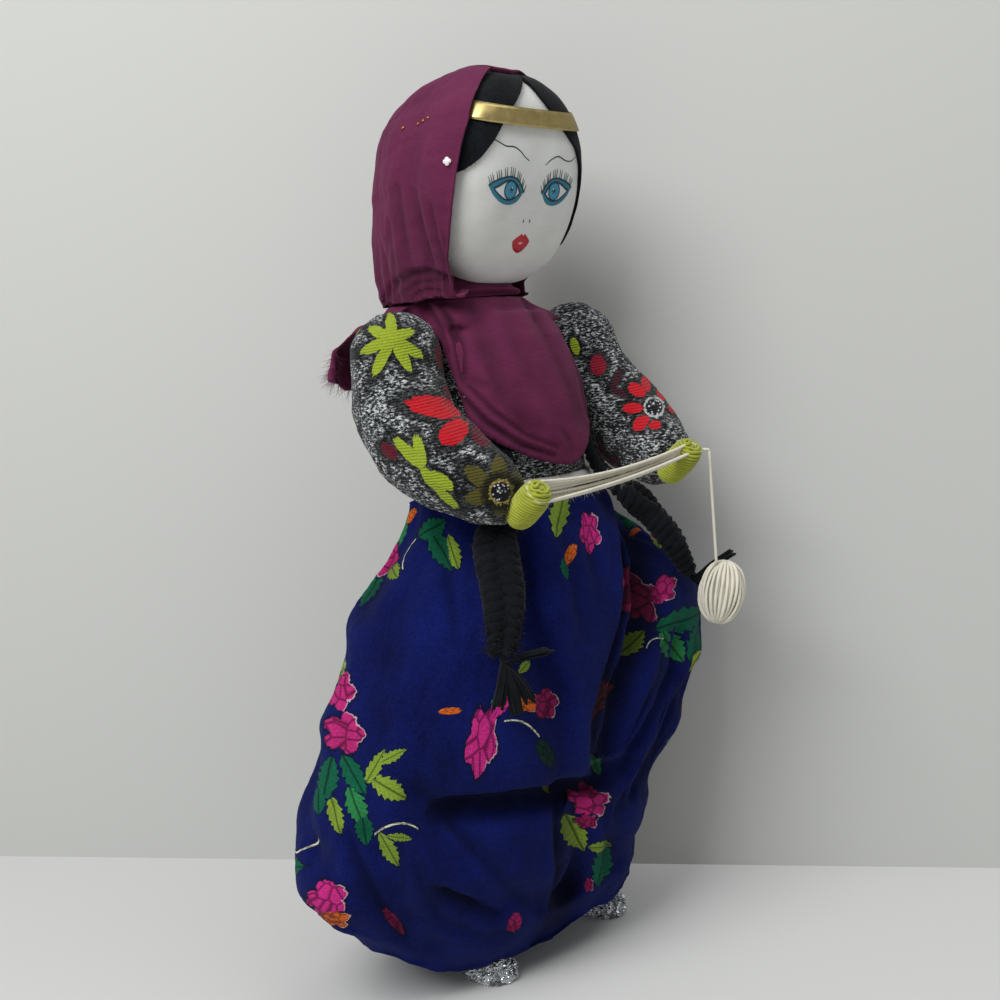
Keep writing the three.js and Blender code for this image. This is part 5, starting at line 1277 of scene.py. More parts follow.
def lay_print(piece, faces, layer, frames):
    """Stores on each face the one flower that it is nearest to: its corners' places on it, its
    kind, its colour and a number of its own."""
    mesh = piece.data
    nearest = np.full(len(faces), 1.7)
    which = np.full(len(faces), -1)
    for i, (x, y, near, kind, colour) in enumerate(frames):
        away = np.hypot(x[faces].mean(axis=1), y[faces].mean(axis=1))
        away = np.where(near[faces].all(axis=1), away, 9)
        which = np.where(away < nearest, i, which)
        nearest = np.minimum(nearest, away)
    corner_of = faces.reshape(-1)
    flower_of = np.repeat(which, faces.shape[1])
    place = np.full((len(corner_of), 2), 9.0)
    kinds = np.zeros(len(corner_of))
    tones = np.zeros((len(corner_of), 4))
    for i, (x, y, near, kind, colour) in enumerate(frames):
        mine = flower_of == i
        place[mine, 0], place[mine, 1] = x[corner_of[mine]], y[corner_of[mine]]
        kinds[mine] = kind
        tones[mine] = linear(colour)
        tones[mine, 3] = (i * 0.37) % 1
    mesh.uv_layers.new(name=f"{layer}_place").data.foreach_set("uv", place.reshape(-1))
    mesh.attributes.new(f"{layer}_kind", "FLOAT", "CORNER").data.foreach_set("value", kinds)
    held = mesh.attributes.new(f"{layer}_tone", "FLOAT_COLOR", "CORNER")
    held.data.foreach_set("color", tones.reshape(-1))


def work_out(tree, sums, **known):
    """Adds the nodes of a list of sums and gives all their results. Each sum has its result's
    name, its operation and its inputs, which are numbers or names of what is known by then;
    "RANGE" maps an input from bounds to bounds."""
    for result, operation, *inputs in sums:
        inputs = {i: known.get(value, value) for i, value in enumerate(inputs)}
        if operation == "RANGE":
            known[result] = node(tree, "MapRange", inputs).outputs[0]
        else:
            known[result] = node(tree, "Math", inputs, operation=operation).outputs[0]
    return known


shape_sums = [  # how deep a place is inside each kind of shape, in its own measure
    ("ragged", "SUBTRACT", "noise", 0.5),
    ("turn", "ARCTAN2", "y", "x"),
    ("beside", "ABSOLUTE", "y"),
    ("along", "ABSOLUTE", "x"),
    ("square", "MULTIPLY", "x", "x"),
    # rose: five petals round a ragged heart
    ("lobes", "MULTIPLY_ADD", "turn", 2.5, "own"),
    ("lobes", "COSINE", "lobes"),
    ("lobes", "ABSOLUTE", "lobes"),
    ("rim", "MULTIPLY_ADD", "ragged", 0.5, 0.72),
    ("rim", "MULTIPLY_ADD", "lobes", 0.28, "rim"),
    ("rose_depth", "SUBTRACT", "rim", "far"),
    # leaf: a pointed oval with a saw edge
    ("point", "SUBTRACT", 1.0, "square"),
    ("saw", "MULTIPLY", "beside", -1.2),
    ("saw", "MULTIPLY_ADD", "x", 3.0, "saw"),
    ("saw", "PINGPONG", "saw", 0.5),
    ("saw", "MULTIPLY_ADD", "saw", 0.5, 0.62),
    ("blade", "MULTIPLY", "point", "saw"),
    ("off_middle", "MULTIPLY_ADD", "ragged", 0.35, "y"),
    ("off_middle", "ABSOLUTE", "off_middle"),
    ("leaf_depth", "SUBTRACT", "blade", "off_middle"),
    # stem: a bowed line
    ("bow", "MULTIPLY_ADD", "square", 0.9, -0.45),
    ("bow", "SUBTRACT", "y", "bow"),
    ("bow", "ABSOLUTE", "bow"),
    ("bow", "SUBTRACT", 0.13, "bow"),
    ("stem_end", "SUBTRACT", 1.0, "along"),
    ("stem_depth", "MINIMUM", "bow", "stem_end"),
    # bud: a plain oval. heart: a plain round full of seeds
    ("bud_depth", "MULTIPLY_ADD", "ragged", 0.6, 0.9),
    ("bud_depth", "SUBTRACT", "bud_depth", "far"),
    ("heart_depth", "MULTIPLY_ADD", "ragged", 0.9, 1.0),
    ("heart_depth", "SUBTRACT", "heart_depth", "far"),
    ("is_rose", "COMPARE", "kind", rose, 0.3),
    ("is_leaf", "COMPARE", "kind", leaf, 0.3),
    ("is_stem", "COMPARE", "kind", stem, 0.3),
    ("is_bud", "COMPARE", "kind", bud, 0.3),
    ("is_heart", "COMPARE", "kind", heart, 0.3),
    ("depth", "MULTIPLY", "is_rose", "rose_depth"),
    ("depth", "MULTIPLY_ADD", "is_leaf", "leaf_depth", "depth"),
    ("depth", "MULTIPLY_ADD", "is_stem", "stem_depth", "depth"),
    ("depth", "MULTIPLY_ADD", "is_bud", "bud_depth", "depth"),
    ("depth", "MULTIPLY_ADD", "is_heart", "heart_depth", "depth"),
    ("some", "GREATER_THAN", "kind", 0.5),
    ("there", "RANGE", "depth", 0.0, 0.05),
    ("there", "MULTIPLY", "some", "there"),
    # inside: petal borders and leaf veins
    ("vein", "RANGE", "cells", 0.02, 0.12),
    ("rib", "RANGE", "beside", 0.03, 0.12),
    ("ray", "MULTIPLY", "beside", -2.2),
    ("ray", "MULTIPLY_ADD", "x", 4.0, "ray"),
    ("ray", "PINGPONG", "ray", 0.5),
    ("ray", "RANGE", "ray", 0.02, 0.2, 0.72, 1.0),
    ("leaf_lines", "MULTIPLY", "rib", "ray"),
    # pale tips on the petals, and seeds within a heart's border
    ("tip", "RANGE", "depth", 0.09, 0.03),
    ("tip", "MULTIPLY", "is_rose", "tip"),
    ("tip_side", "RANGE", "x", 0.3, 0.55, 0.0, 0.85),
    ("tip", "MULTIPLY", "tip", "tip_side"),
    ("seed", "RANGE", "specks", 0.3, 0.42),
    ("within", "RANGE", "far", 0.82, 0.74),
    ("within", "MULTIPLY", "is_heart", "within"),
]


def print_layer(tree, layer, ground, edge_shade="#0a0f2c", edge_width=0.14, line_tone=0.32):
    """Lays one layer of the print over a ground colour, and gives the new colour."""
    place = node(tree, "UVMap", {}, uv_map=f"{layer}_place").outputs[0]
    kind = node(tree, "Attribute", {}, attribute_name=f"{layer}_kind").outputs["Fac"]
    tone_of = node(tree, "Attribute", {}, attribute_name=f"{layer}_tone")
    own = node(tree, "Math", {0: tone_of.outputs["Alpha"], 1: 40.0}, operation="MULTIPLY").outputs[0]
    own_place = node(tree, "CombineXYZ", {0: own, 1: own}).outputs[0]
    shifted = node(tree, "VectorMath", {0: place, 1: own_place}, operation="ADD").outputs[0]
    noise = node(tree, "TexNoise", {"Vector": shifted, "Scale": 3.2, "Detail": 4}).outputs[0]
    split = node(tree, "SeparateXYZ", {0: place})
    far = node(tree, "VectorMath", {0: place}, operation="LENGTH").outputs["Value"]
    cells = node(tree, "TexVoronoi", {"Vector": shifted, "Scale": 1.7}, feature="DISTANCE_TO_EDGE")
    specks = node(tree, "TexVoronoi", {"Vector": shifted, "Scale": 4.5})
    of = work_out(tree, shape_sums, x=split.outputs[0], y=split.outputs[1], far=far, kind=kind,
                  own=own, noise=noise, cells=cells.outputs["Distance"],
                  specks=specks.outputs["Distance"])
    drawn = node(tree, "Mix", {0: of["is_leaf"], 2: of["vein"], 3: of["leaf_lines"]}).outputs[0]
    stretched = node(tree, "Mapping", {"Vector": shifted, "Scale": (3, 14, 1)}).outputs[0]
    strands = node(tree, "TexNoise", {"Vector": stretched, "Scale": 1.6, "Detail": 3}).outputs[0]
    of = work_out(tree, [
        ("strength", "RANGE", "strands", 0.3, 0.7, 0.72, 1.22),
        ("lines", "RANGE", "drawn", 0.0, 1.0, line_tone, 1.0),
        ("strength", "MULTIPLY", "strength", "lines"),
        ("halo", "RANGE", "depth", -edge_width, -edge_width * 0.5, 0.0, 0.85),
        ("halo", "MULTIPLY", "some", "halo"),
    ], strands=strands, drawn=drawn, **of)
    lit = node(tree, "VectorMath", {0: tone_of.outputs["Color"], "Scale": of["strength"]},
               operation="SCALE").outputs[0]
    seeds = node(tree, "Mix", {0: of["seed"], 6: linear("#b9bbc0"), 7: linear("#101116")},
                 data_type="RGBA").outputs[2]
    for share, colour in (("tip", linear("#e6d3df")), ("within", seeds)):
        lit = node(tree, "Mix", {0: of[share], 6: lit, 7: colour}, data_type="RGBA").outputs[2]
    # a thin dark shade of the ground goes round each shape
    for share, colour in (("halo", linear(edge_shade)), ("there", lit)):
        ground = node(tree, "Mix", {0: of[share], 6: ground, 7: colour}, data_type="RGBA").outputs[2]
    return ground


# The trousers made up: soft wool flannel with a nap, dyed a deep royal blue, its threads 0.5 mm
# apart and drawn at 0.8 mm to show. It is open at both ankles.
blue_flannel, tree, surface = finish_called("printed_blue_flannel", 0.95, sheen=0.06)
surface.inputs["Sheen Tint"].default_value = linear("#8c9be0")
place = node(tree, "TexCoord", {}).outputs["Object"]
cloud = node(tree, "TexNoise", {"Vector": place, "Scale": 28, "Detail": 4})
nap = node(tree, "TexNoise", {"Vector": place, "Scale": 600, "Detail": 3})
fluff = node(tree, "TexNoise", {"Vector": place, "Scale": 900, "Detail": 4})
of = work_out(tree, [
    ("mottle", "MULTIPLY", "cloud", 0.6),
    ("mottle", "MULTIPLY_ADD", "nap", 0.5, "mottle"),
    ("level", "RANGE", "mottle", 0.35, 0.75),
    ("height", "MULTIPLY_ADD", "fluff", 2.5, "threads"),
], cloud=cloud.outputs[0], nap=nap.outputs[0], fluff=fluff.outputs[0],
    threads=weave(tree, place, 0.0008, 1.5))
ground = node(tree, "Mix", {0: of["level"], 6: linear("#03083c"), 7: linear("#0c195e")},
              data_type="RGBA").outputs[2]
ground = print_layer(tree, "lower", ground)
ground = print_layer(tree, "upper", ground)
# painted shade in the creases and hollows, down to 0.2 of the colour
dim_in_folds(tree, surface, ground, 0.2)
node(tree, "Bump", {"Height": of["height"], "Strength": 0.45, "Distance": 0.0004},
     {0: surface.inputs["Normal"]})
trousers = mesh_piece("printed_trousers", cloth, cloth_faces, blue_flannel, in_fold=in_fold)
lay_print(trousers, cloth_faces, "upper", upper)
lay_print(trousers, cloth_faces, "lower", lower)
outward_faces(trousers, placed((0, 0, 120)))
for name, s in sides:
    hub = Vector(placed((s * leg_x, foot_y[name], 0)))
    with mesh_open(trousers) as bm:
        gone = [f for f in bm.faces if f.calc_center_median().z < 0.045 and f.normal.z < -0.3
                and (f.calc_center_median().xy - hub.xy).length < ankle_room / 1000]
        bmesh.ops.delete(bm, geom=gone, context="FACES")
        rim = [corner for edge in bm.edges if edge.is_boundary and edge.verts[0].co.z < 0.05
               for corner in edge.verts]
        for corner in rim:
            off = corner.co.xy - hub.xy
            if off.length < ankle_room / 1000 + 0.004:
                corner.co.xy = hub.xy + off.normalized() * ankle_room / 1000
apply_modifier(trousers, "SOLIDIFY", thickness=0.0011, offset=-1)
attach(trousers, "body")
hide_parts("trousers")

# Wadding: loose white cotton stuffing that keeps the trousers round. It follows their shape a
# little way in and can't be seen past them.
wadding_finish = cotton_finish("white_wadding", "#d6d4cd", 0.003)
coarse_cloth = cloth.reshape(-1, trouser_columns, 3)[12:172:4, ::3]
axis_at = np.array((*placed((0, 0, 0))[:2], 0))
wadding_share, wadding_lift = (0.85, 0.85, 0.9), (0, 0, 0.016)
wadding_skin = (coarse_cloth - axis_at) * wadding_share + axis_at + wadding_lift
wadding = mesh_piece("trouser_stuffing", wadding_skin.reshape(-1, 3),
                     grid_faces(*coarse_cloth.shape[:2], capped=True), wadding_finish)
outward_faces(wadding, placed((0, 0, 120)))
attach(wadding, "body")
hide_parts("trouser_wadding")

# Scarf: the lower part of the same plum headscarf, wound once round the neck under the hood's
# foot. It lies as a creased bib on the chest and as a short cape behind, frayed at one corner,
# and a few white stitches hold it to the blouse.
def cloth_of(piece):
    """A piece's corners and the way out at each of them."""
    corners = piece.data.vertices
    held = []
    for word in ("co", "normal"):
        values = np.empty(len(corners) * 3)
        corners.foreach_get(word, values)
        held.append(values.reshape(-1, 3))
    return held


def padded_copy(name, source, material, voxel, passes, swell=0.0):
    """A soft copy of a CAD piece: merged, remeshed finely, smoothed and let out a little."""
    held = bpy.data.objects[source].data.copy()
    piece = bpy.data.objects.new(name, held)
    scene.collection.objects.link(piece)
    held.name = name
    merge_close(piece, 0.00001)
    apply_modifier(piece, "REMESH", mode="VOXEL", voxel_size=voxel, use_smooth_shade=True)
    apply_modifier(piece, "SMOOTH", factor=0.6, iterations=passes)
    if swell:
        apply_modifier(piece, "DISPLACE", mid_level=0, strength=swell)
    piece.data.materials.clear()
    piece.data.materials.append(material)
    return piece


scarf = padded_copy("scarf_bib_and_cape", "scarf_wrap", plum_cloth, 0.0011, 8)
scarf_creases = [
    ([(460, 395), (488, 423), (522, 445), (553, 455)], 2.4, 2.5, 3.5),
    ([(468, 386), (495, 412), (527, 435), (556, 447)], 1.7, 2.5, 3.5),
    ([(437, 300), (447, 322), (455, 340), (459, 362), (461, 380)], 2.4, 7, 3),
    ([(425, 303), (436, 318), (443, 336), (447, 352)], 1.4, 3, 5),
    ([(520, 292), (527, 303), (535, 322), (548, 344)], 1.8, 6, 3),
    ([(537, 296), (557, 320), (573, 350), (583, 384), (588, 415)], 1.9, 3, 4),
    ([(530, 318), (552, 352), (570, 390), (579, 425)], 1.1, 7, 5),
    ([(474, 306), (484, 350), (503, 400), (533, 436)], 1.2, 16, 8),
    ([(500, 300), (512, 335), (530, 372), (552, 412)], 0.8, 12, 9),
    ([(462, 378), (478, 384), (500, 388), (520, 386)], 0.9, 6, 6),
    ([(430, 296), (455, 290), (490, 291), (524, 295)], 1.0, 2, 4),
    ([(560, 430), (568, 440), (572, 452)], 0.9, 3, 3),
]
cloth, outward = cloth_of(scarf)
seen = in_picture(cloth)
facing = turned_to_camera(cloth, outward)
front_share = ease(0.02, 0.3, facing)
drawn_in = np.minimum(drawn_by(scarf_creases, seen, 1), 2.0) * front_share
behind = ease(0.0, 0.02, cloth[:, 1] - doll_middle[1] / 1000) * ease(0.339, 0.33, cloth[:, 2])
soft = 0.35 * ripples(cloth, 0.03, 71) + 0.15 * ripples(cloth, 0.01, 72)
hanging = 1.3 * ripples(cloth * (1, 1, 0.25), 0.016, 73) - 0.5
bib_free_px, throat_clear_z = (455, 490), (0.334, 0.328)  # clear of the sleeve and the throat
stands_off = (1.3 * front_share * ease(*bib_free_px, seen[:, 0])
              * ease(*throat_clear_z, cloth[:, 2]))
cloth = cloth + outward * (soft - 0.2 + stands_off - drawn_in + behind * hanging)[:, None] / 1000
scarf.data.vertices.foreach_set("co", cloth.reshape(-1))
# painted shade: darker in the bib's creases
held = scarf.data.attributes.new("in_fold", "FLOAT", "POINT")
held.data.foreach_set("value", np.minimum(1, drawn_in / 2.2).astype(np.float32))
frayed_x, frayed_y, frayed_tip_x, frayed_tip_y = 350, 352, 337, 350  # pixels, the cape's corner
frayed = np.flatnonzero(
    (seen[:, 0] < frayed_x) & (seen[:, 1] > frayed_y) & (outward[:, 2] < -0.2)
    | (seen[:, 0] < frayed_tip_x) & (seen[:, 1] > frayed_tip_y))
frayed_hairs = 150
picked = [int(frayed[chance.randrange(len(frayed))]) for _ in range(frayed_hairs)]
corners, faces = stray_hairs(cloth[picked], [outward[i] + (-0.3, 0, -0.9) for i in picked],
                             0.009, 0.00012, 74)
fringe = mesh_piece("scarf_frayed_edge", corners, faces, plum_cloth)
stitch_pixels = ((460, 384), (461, 390), (462, 397))
spots = [cloth[np.argmin(((seen - pixel) ** 2).sum(axis=1) + 900 * (facing < 0.2))]
         for pixel in stitch_pixels]
stitch_line = [spots[0] - (0, 0.0001, 0), spots[1] - (0.0006, 0.0012, 0), spots[2] - (0, 0.0001, 0)]
corners, faces = yarn([Vector(p) for p in stitch_line], 0.00045, sides=6)
stitch = mesh_piece("scarf_white_stitch", corners, faces, cream_wool)
for piece in (fringe, stitch):
    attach(piece, "body")
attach(scarf, "body")
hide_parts("scarf_wrap")

# Sleeves: the blouse's knit drawn over stuffing, a ball at the shoulder and a thick arm. The
# jersey is a black, grey and white melange with felted leaves and petals edged in black.
def melange_finish(name):
    """Jersey of melange yarn: short dashes of black, grey and white in rows 1.3 mm apart."""
    material, tree, surface = finish_called(name, 0.98, sheen=0.12)
    place = node(tree, "TexCoord", {}).outputs["Object"]
    laid = node(tree, "Mapping", {"Vector": place, "Rotation": (0.0, 0.12, 0.0),
                                  "Scale": (1, 1, 2.4)}).outputs[0]
    dashes = node(tree, "TexNoise", {"Vector": laid, "Scale": 450, "Detail": 2, "Roughness": 0.6})
    flecks = node(tree, "TexNoise", {"Vector": laid, "Scale": 1200, "Detail": 2})
    patches = node(tree, "TexNoise", {"Vector": place, "Scale": 60, "Detail": 2})
    of = work_out(tree, [
        ("value", "MULTIPLY_ADD", "flecks", 0.45, "dashes"),
        ("value", "MULTIPLY_ADD", "patches", 0.22, "value"),
    ], flecks=flecks.outputs[0], dashes=dashes.outputs[0], patches=patches.outputs[0])
    tones = node(tree, "ValToRGB", {0: of["value"]})
    ramp = tones.color_ramp
    ramp.elements[0].position, ramp.elements[0].color = 0.76, linear("#101214")
    ramp.elements[1].position, ramp.elements[1].color = 0.99, linear("#c4c6c5")
    for position, shade in ((0.82, "#2c2f32"), (0.87, "#5e6265"), (0.93, "#8f9394")):
        ramp.elements.new(position).color = linear(shade)
    return material, tree, surface, tones.outputs[0]


def jersey_bump(tree, surface):
    """Relief of jersey: rows of small stitches, 1.3 mm from row to row, with a nap."""
    place = node(tree, "TexCoord", {}).outputs["Object"]
    laid = node(tree, "Mapping", {"Vector": place, "Rotation": (0.0, 0.12, 0.0)}).outputs[0]
    rows_of = node(tree, "TexWave", {"Vector": laid, "Scale": 0.314 / 0.0013, "Distortion": 2.5,
                                     "Detail": 2, "Detail Scale": 1.5}, bands_direction="Z")
    stitch = node(tree, "TexNoise", {"Vector": place, "Scale": 760, "Detail": 3})
    rough = node(tree, "Math", {0: stitch.outputs[0], 1: 1.6, 2: rows_of.outputs["Fac"]},
                 operation="MULTIPLY_ADD")
    node(tree, "Bump", {"Height": rough.outputs[0], "Strength": 0.8, "Distance": 0.0005},
         {0: surface.inputs["Normal"]})


mottled_knit, tree, surface, melange = melange_finish("melange_jersey")
tree.links.new(melange, surface.inputs["Base Color"])
jersey_bump(tree, surface)
felted_knit, tree, surface, melange = melange_finish("melange_jersey_with_felt")
ground = print_layer(tree, "lower", melange, "#08090b", 0.8, 1.0)
ground = print_layer(tree, "upper", ground, "#08090b", 0.8, 1.0)
tree.links.new(ground, surface.inputs["Base Color"])
jersey_bump(tree, surface)
lime_felt, red_felt, maroon_felt, olive_felt = "#8fa02a", "#b3121f", "#5a1122", "#4c481d"


def petals(base, tips, half_width, colour, overlap=3):
    """Leaves or petals of one felt flower: plain ovals from near its middle to each tip."""
    made = []
    for x, y in tips:
        dx, dy = x - base[0], y - base[1]
        reach = math.hypot(dx, dy)
        near = 1 - overlap / reach
        made.append((bud, base[0] + dx / 2 * near, base[1] + dy / 2 * near,
                     reach / 2 + overlap / 2, half_width, math.degrees(math.atan2(dy, dx)), colour))
    return made


sleeve_felt = {
    "right": (petals((392, 338), [(390, 311), (366, 327), (358, 354), (372, 379), (413, 374), (426, 359),
                                  (416, 330)], 6.5, lime_felt, 6)
              + [(bud, 435, 407, 32, 12, 10, red_felt), (bud, 454, 432, 19, 13, -35, red_felt),
                 (bud, 482, 435, 14, 11, 50, maroon_felt), (bud, 457, 401, 23, 5, 48, maroon_felt),
                 (bud, 484, 426, 16, 2.2, 35, "#4d2a20"), (bud, 443, 357, 16, 8, 75, maroon_felt)]
              + petals((423, 468), [(392, 436), (415, 432)], 6.5, lime_felt, 4)
              + [(bud, 429, 478, 16, 6, 55, lime_felt), (bud, 441, 481, 16, 8, 35, lime_felt),
                 (bud, 446, 497, 19, 5, 43, lime_felt), (bud, 389, 451, 12, 7, 45, maroon_felt)],
              petals((501, 492), [(498, 454), (462, 466), (463, 500), (500, 518), (524, 470),
                                  (532, 500)], 9.5, olive_felt, 0)),
    "left": ([(bud, 575, 346, 10, 5, 75, lime_felt), (bud, 598, 365, 12, 9, 80, "#7d1428"),
              (bud, 637, 390, 11, 7, 30, red_felt), (bud, 646, 384, 9, 5, 70, red_felt),
              (bud, 662, 394, 8, 5, 50, red_felt), (bud, 633, 408, 12, 6, 0, red_felt),
              (bud, 641, 423, 11, 7, -40, red_felt), (bud, 655, 425, 7, 5, 0, red_felt),
              (bud, 673, 408, 7, 5, 60, red_felt)],
             [(bud, 616, 380, 12, 4, -60, "#3a1420"), (bud, 620, 393, 10, 4, 20, "#3a1420")]),
}
flower_hearts = {"right": (501, 492, 13), "left": (654, 407, 11)}
hidden_felt = {"right": [(-88, 12, 300), (-84, 22, 262), (-70, 26, 322)],
               "left": [(88, 2, 292), (84, 20, 266), (70, 26, 318), (62, -30, 262)]}
hidden_shades = (lime_felt, red_felt, lime_felt, maroon_felt)
for name in ("right", "left"):
    sleeve = padded_copy(f"{name}_sleeve_knit", f"{name}_sleeve", felted_knit, 0.0011, 14, 0.0005)
    cloth, outward = cloth_of(sleeve)
    creased = 0.5 * ripples(cloth, 0.028, 81) + 0.16 * ripples(cloth, 0.009, 82)
    cloth = cloth + outward * creased[:, None] / 1000
    sleeve.data.vertices.foreach_set("co", cloth.reshape(-1))
    faces = np.array([tuple(p.vertices) for p in sleeve.data.polygons])
    seen = in_picture(cloth)
    facing = turned_to_camera(cloth, outward)
    upper = [flower_frame(*flower) for flower in sleeve_felt[name][0]]
    lower = [flower_frame(*flower) for flower in sleeve_felt[name][1]]
    x, y, size = flower_hearts[name]
    upper.append(flower_frame(heart, x, y, size, size, 0, "#8a7a3a" if name == "right" else "#a9aba9"))
    for i, spot in enumerate(hidden_felt[name]):
        at = int(np.argmin(((cloth - placed(spot)) ** 2).sum(axis=1)))
        if facing[at] > 0.1:
            continue
        for k in range(6):
            about = math.radians(60 * k + 20 * i)
            upper.append(cloth_frame(at, bud, 7.5 * math.cos(about), 7.5 * math.sin(about), 6.5, 3.6,
                                     math.degrees(about), hidden_shades[i]))
    lay_print(sleeve, faces, "upper", upper)
    lay_print(sleeve, faces, "lower", lower)
    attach(sleeve, f"{name}_arm")
    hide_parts(f"{name}_sleeve")

# Blouse: a close body piece of the same melange jersey, pulled over the stuffed torso. Only
# small parts of it show, beside the scarf and above the sash.
body_shape = np.array([
    [212, 38, 30, 29, 0, 0], [231, 43, 35, 32, 0, 0], [249, 44, 36, 33, 0.5, 0],
    [264.5, 41.5, 38.5, 33, 1.5, 0], [284, 39, 40, 33, 3.5, 0], [298.5, 37, 37.5, 32, 5, 0.1],
    [313, 34, 31, 28, 7, 0.5], [320, 26, 23, 25, 8, 0.9], [325, 17, 11, 22, 8, 1]])


def body_at(height):
    """Half width, depth in front and behind, middle and lift of the body at a height, in mm."""
    return [np.interp(height, body_shape[:, 0], body_shape[:, i]) for i in range(1, 6)]


def body_skin(angle, height, grow):
    """The stuffed body's surface at angles round it and heights, larger by grow, in mm."""
    wide, front, back, middle, lift = body_at(height)
    depth = np.where(np.sin(angle) < 0, front, back) + grow
    return np.stack(((wide + grow) * np.cos(angle), middle + depth * np.sin(angle),
                     height + lift * grow + 0 * angle), axis=-1)


body_columns, blouse_rows, blouse_grow = 140, 74, 1.6
around = np.linspace(0, 2 * np.pi, body_columns, endpoint=False)
rows = [body_skin(around, height, blouse_grow) for height in np.linspace(232, 321, blouse_rows)]
blouse = sheet_piece("blouse_knit", placed(np.array(rows).reshape(-1, 3)),
                     (blouse_rows, body_columns), mottled_knit, placed((0, 2, 270)), 0.001)
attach(blouse, "body")
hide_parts("blouse_body")

# Sash: a band of thin white cotton, tied tight round the waist over the blouse. It holds the
# trousers' gathered top in place.
white_cotton = cotton_finish("white_sash_cotton", "#dcdcd8", 0.0008)
sash_profile = [(241.9, 0.2), (242.6, 1.5), (244, 2.1), (246, 2.25), (248, 2.1), (249.2, 1.4),
                (249.5, 0.3)]  # height and bulge
sash_grow = 1.9
rows = [body_skin(around, height, sash_grow + bulge) for height, bulge in sash_profile]
sash = sheet_piece("waist_sash_cloth", placed(np.array(rows).reshape(-1, 3)),
                   (len(rows), body_columns), white_cotton, placed((0, 2, 246)), 0.0008)
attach(sash, "body")
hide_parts("waist_sash")

# Plaits: three strands of black wool yarn braided down each side of the chest, under the bib,
# then free over the trousers to a tie. The loose ends fan out beyond it.
black_wool = wool_finish("black_spun_wool", "#0b0d12", "#1b1e24", "#040507", sheen=0.05)
plait_hinge = {"right": np.array((-50.5, -49, 227)), "left": np.array((50.5, -49, 227))}
plait_end = {"right": np.array((-66, -66, 178)), "left": np.array((68, -60, 192))}


def before_body(x, height, grow):
    """Point in front of the body at a place across it and a height."""
    wide, front, _, middle, _ = body_at(height)
    return np.array((x, middle - (front + grow) * math.sqrt(1 - (x / (wide + grow)) ** 2), height))


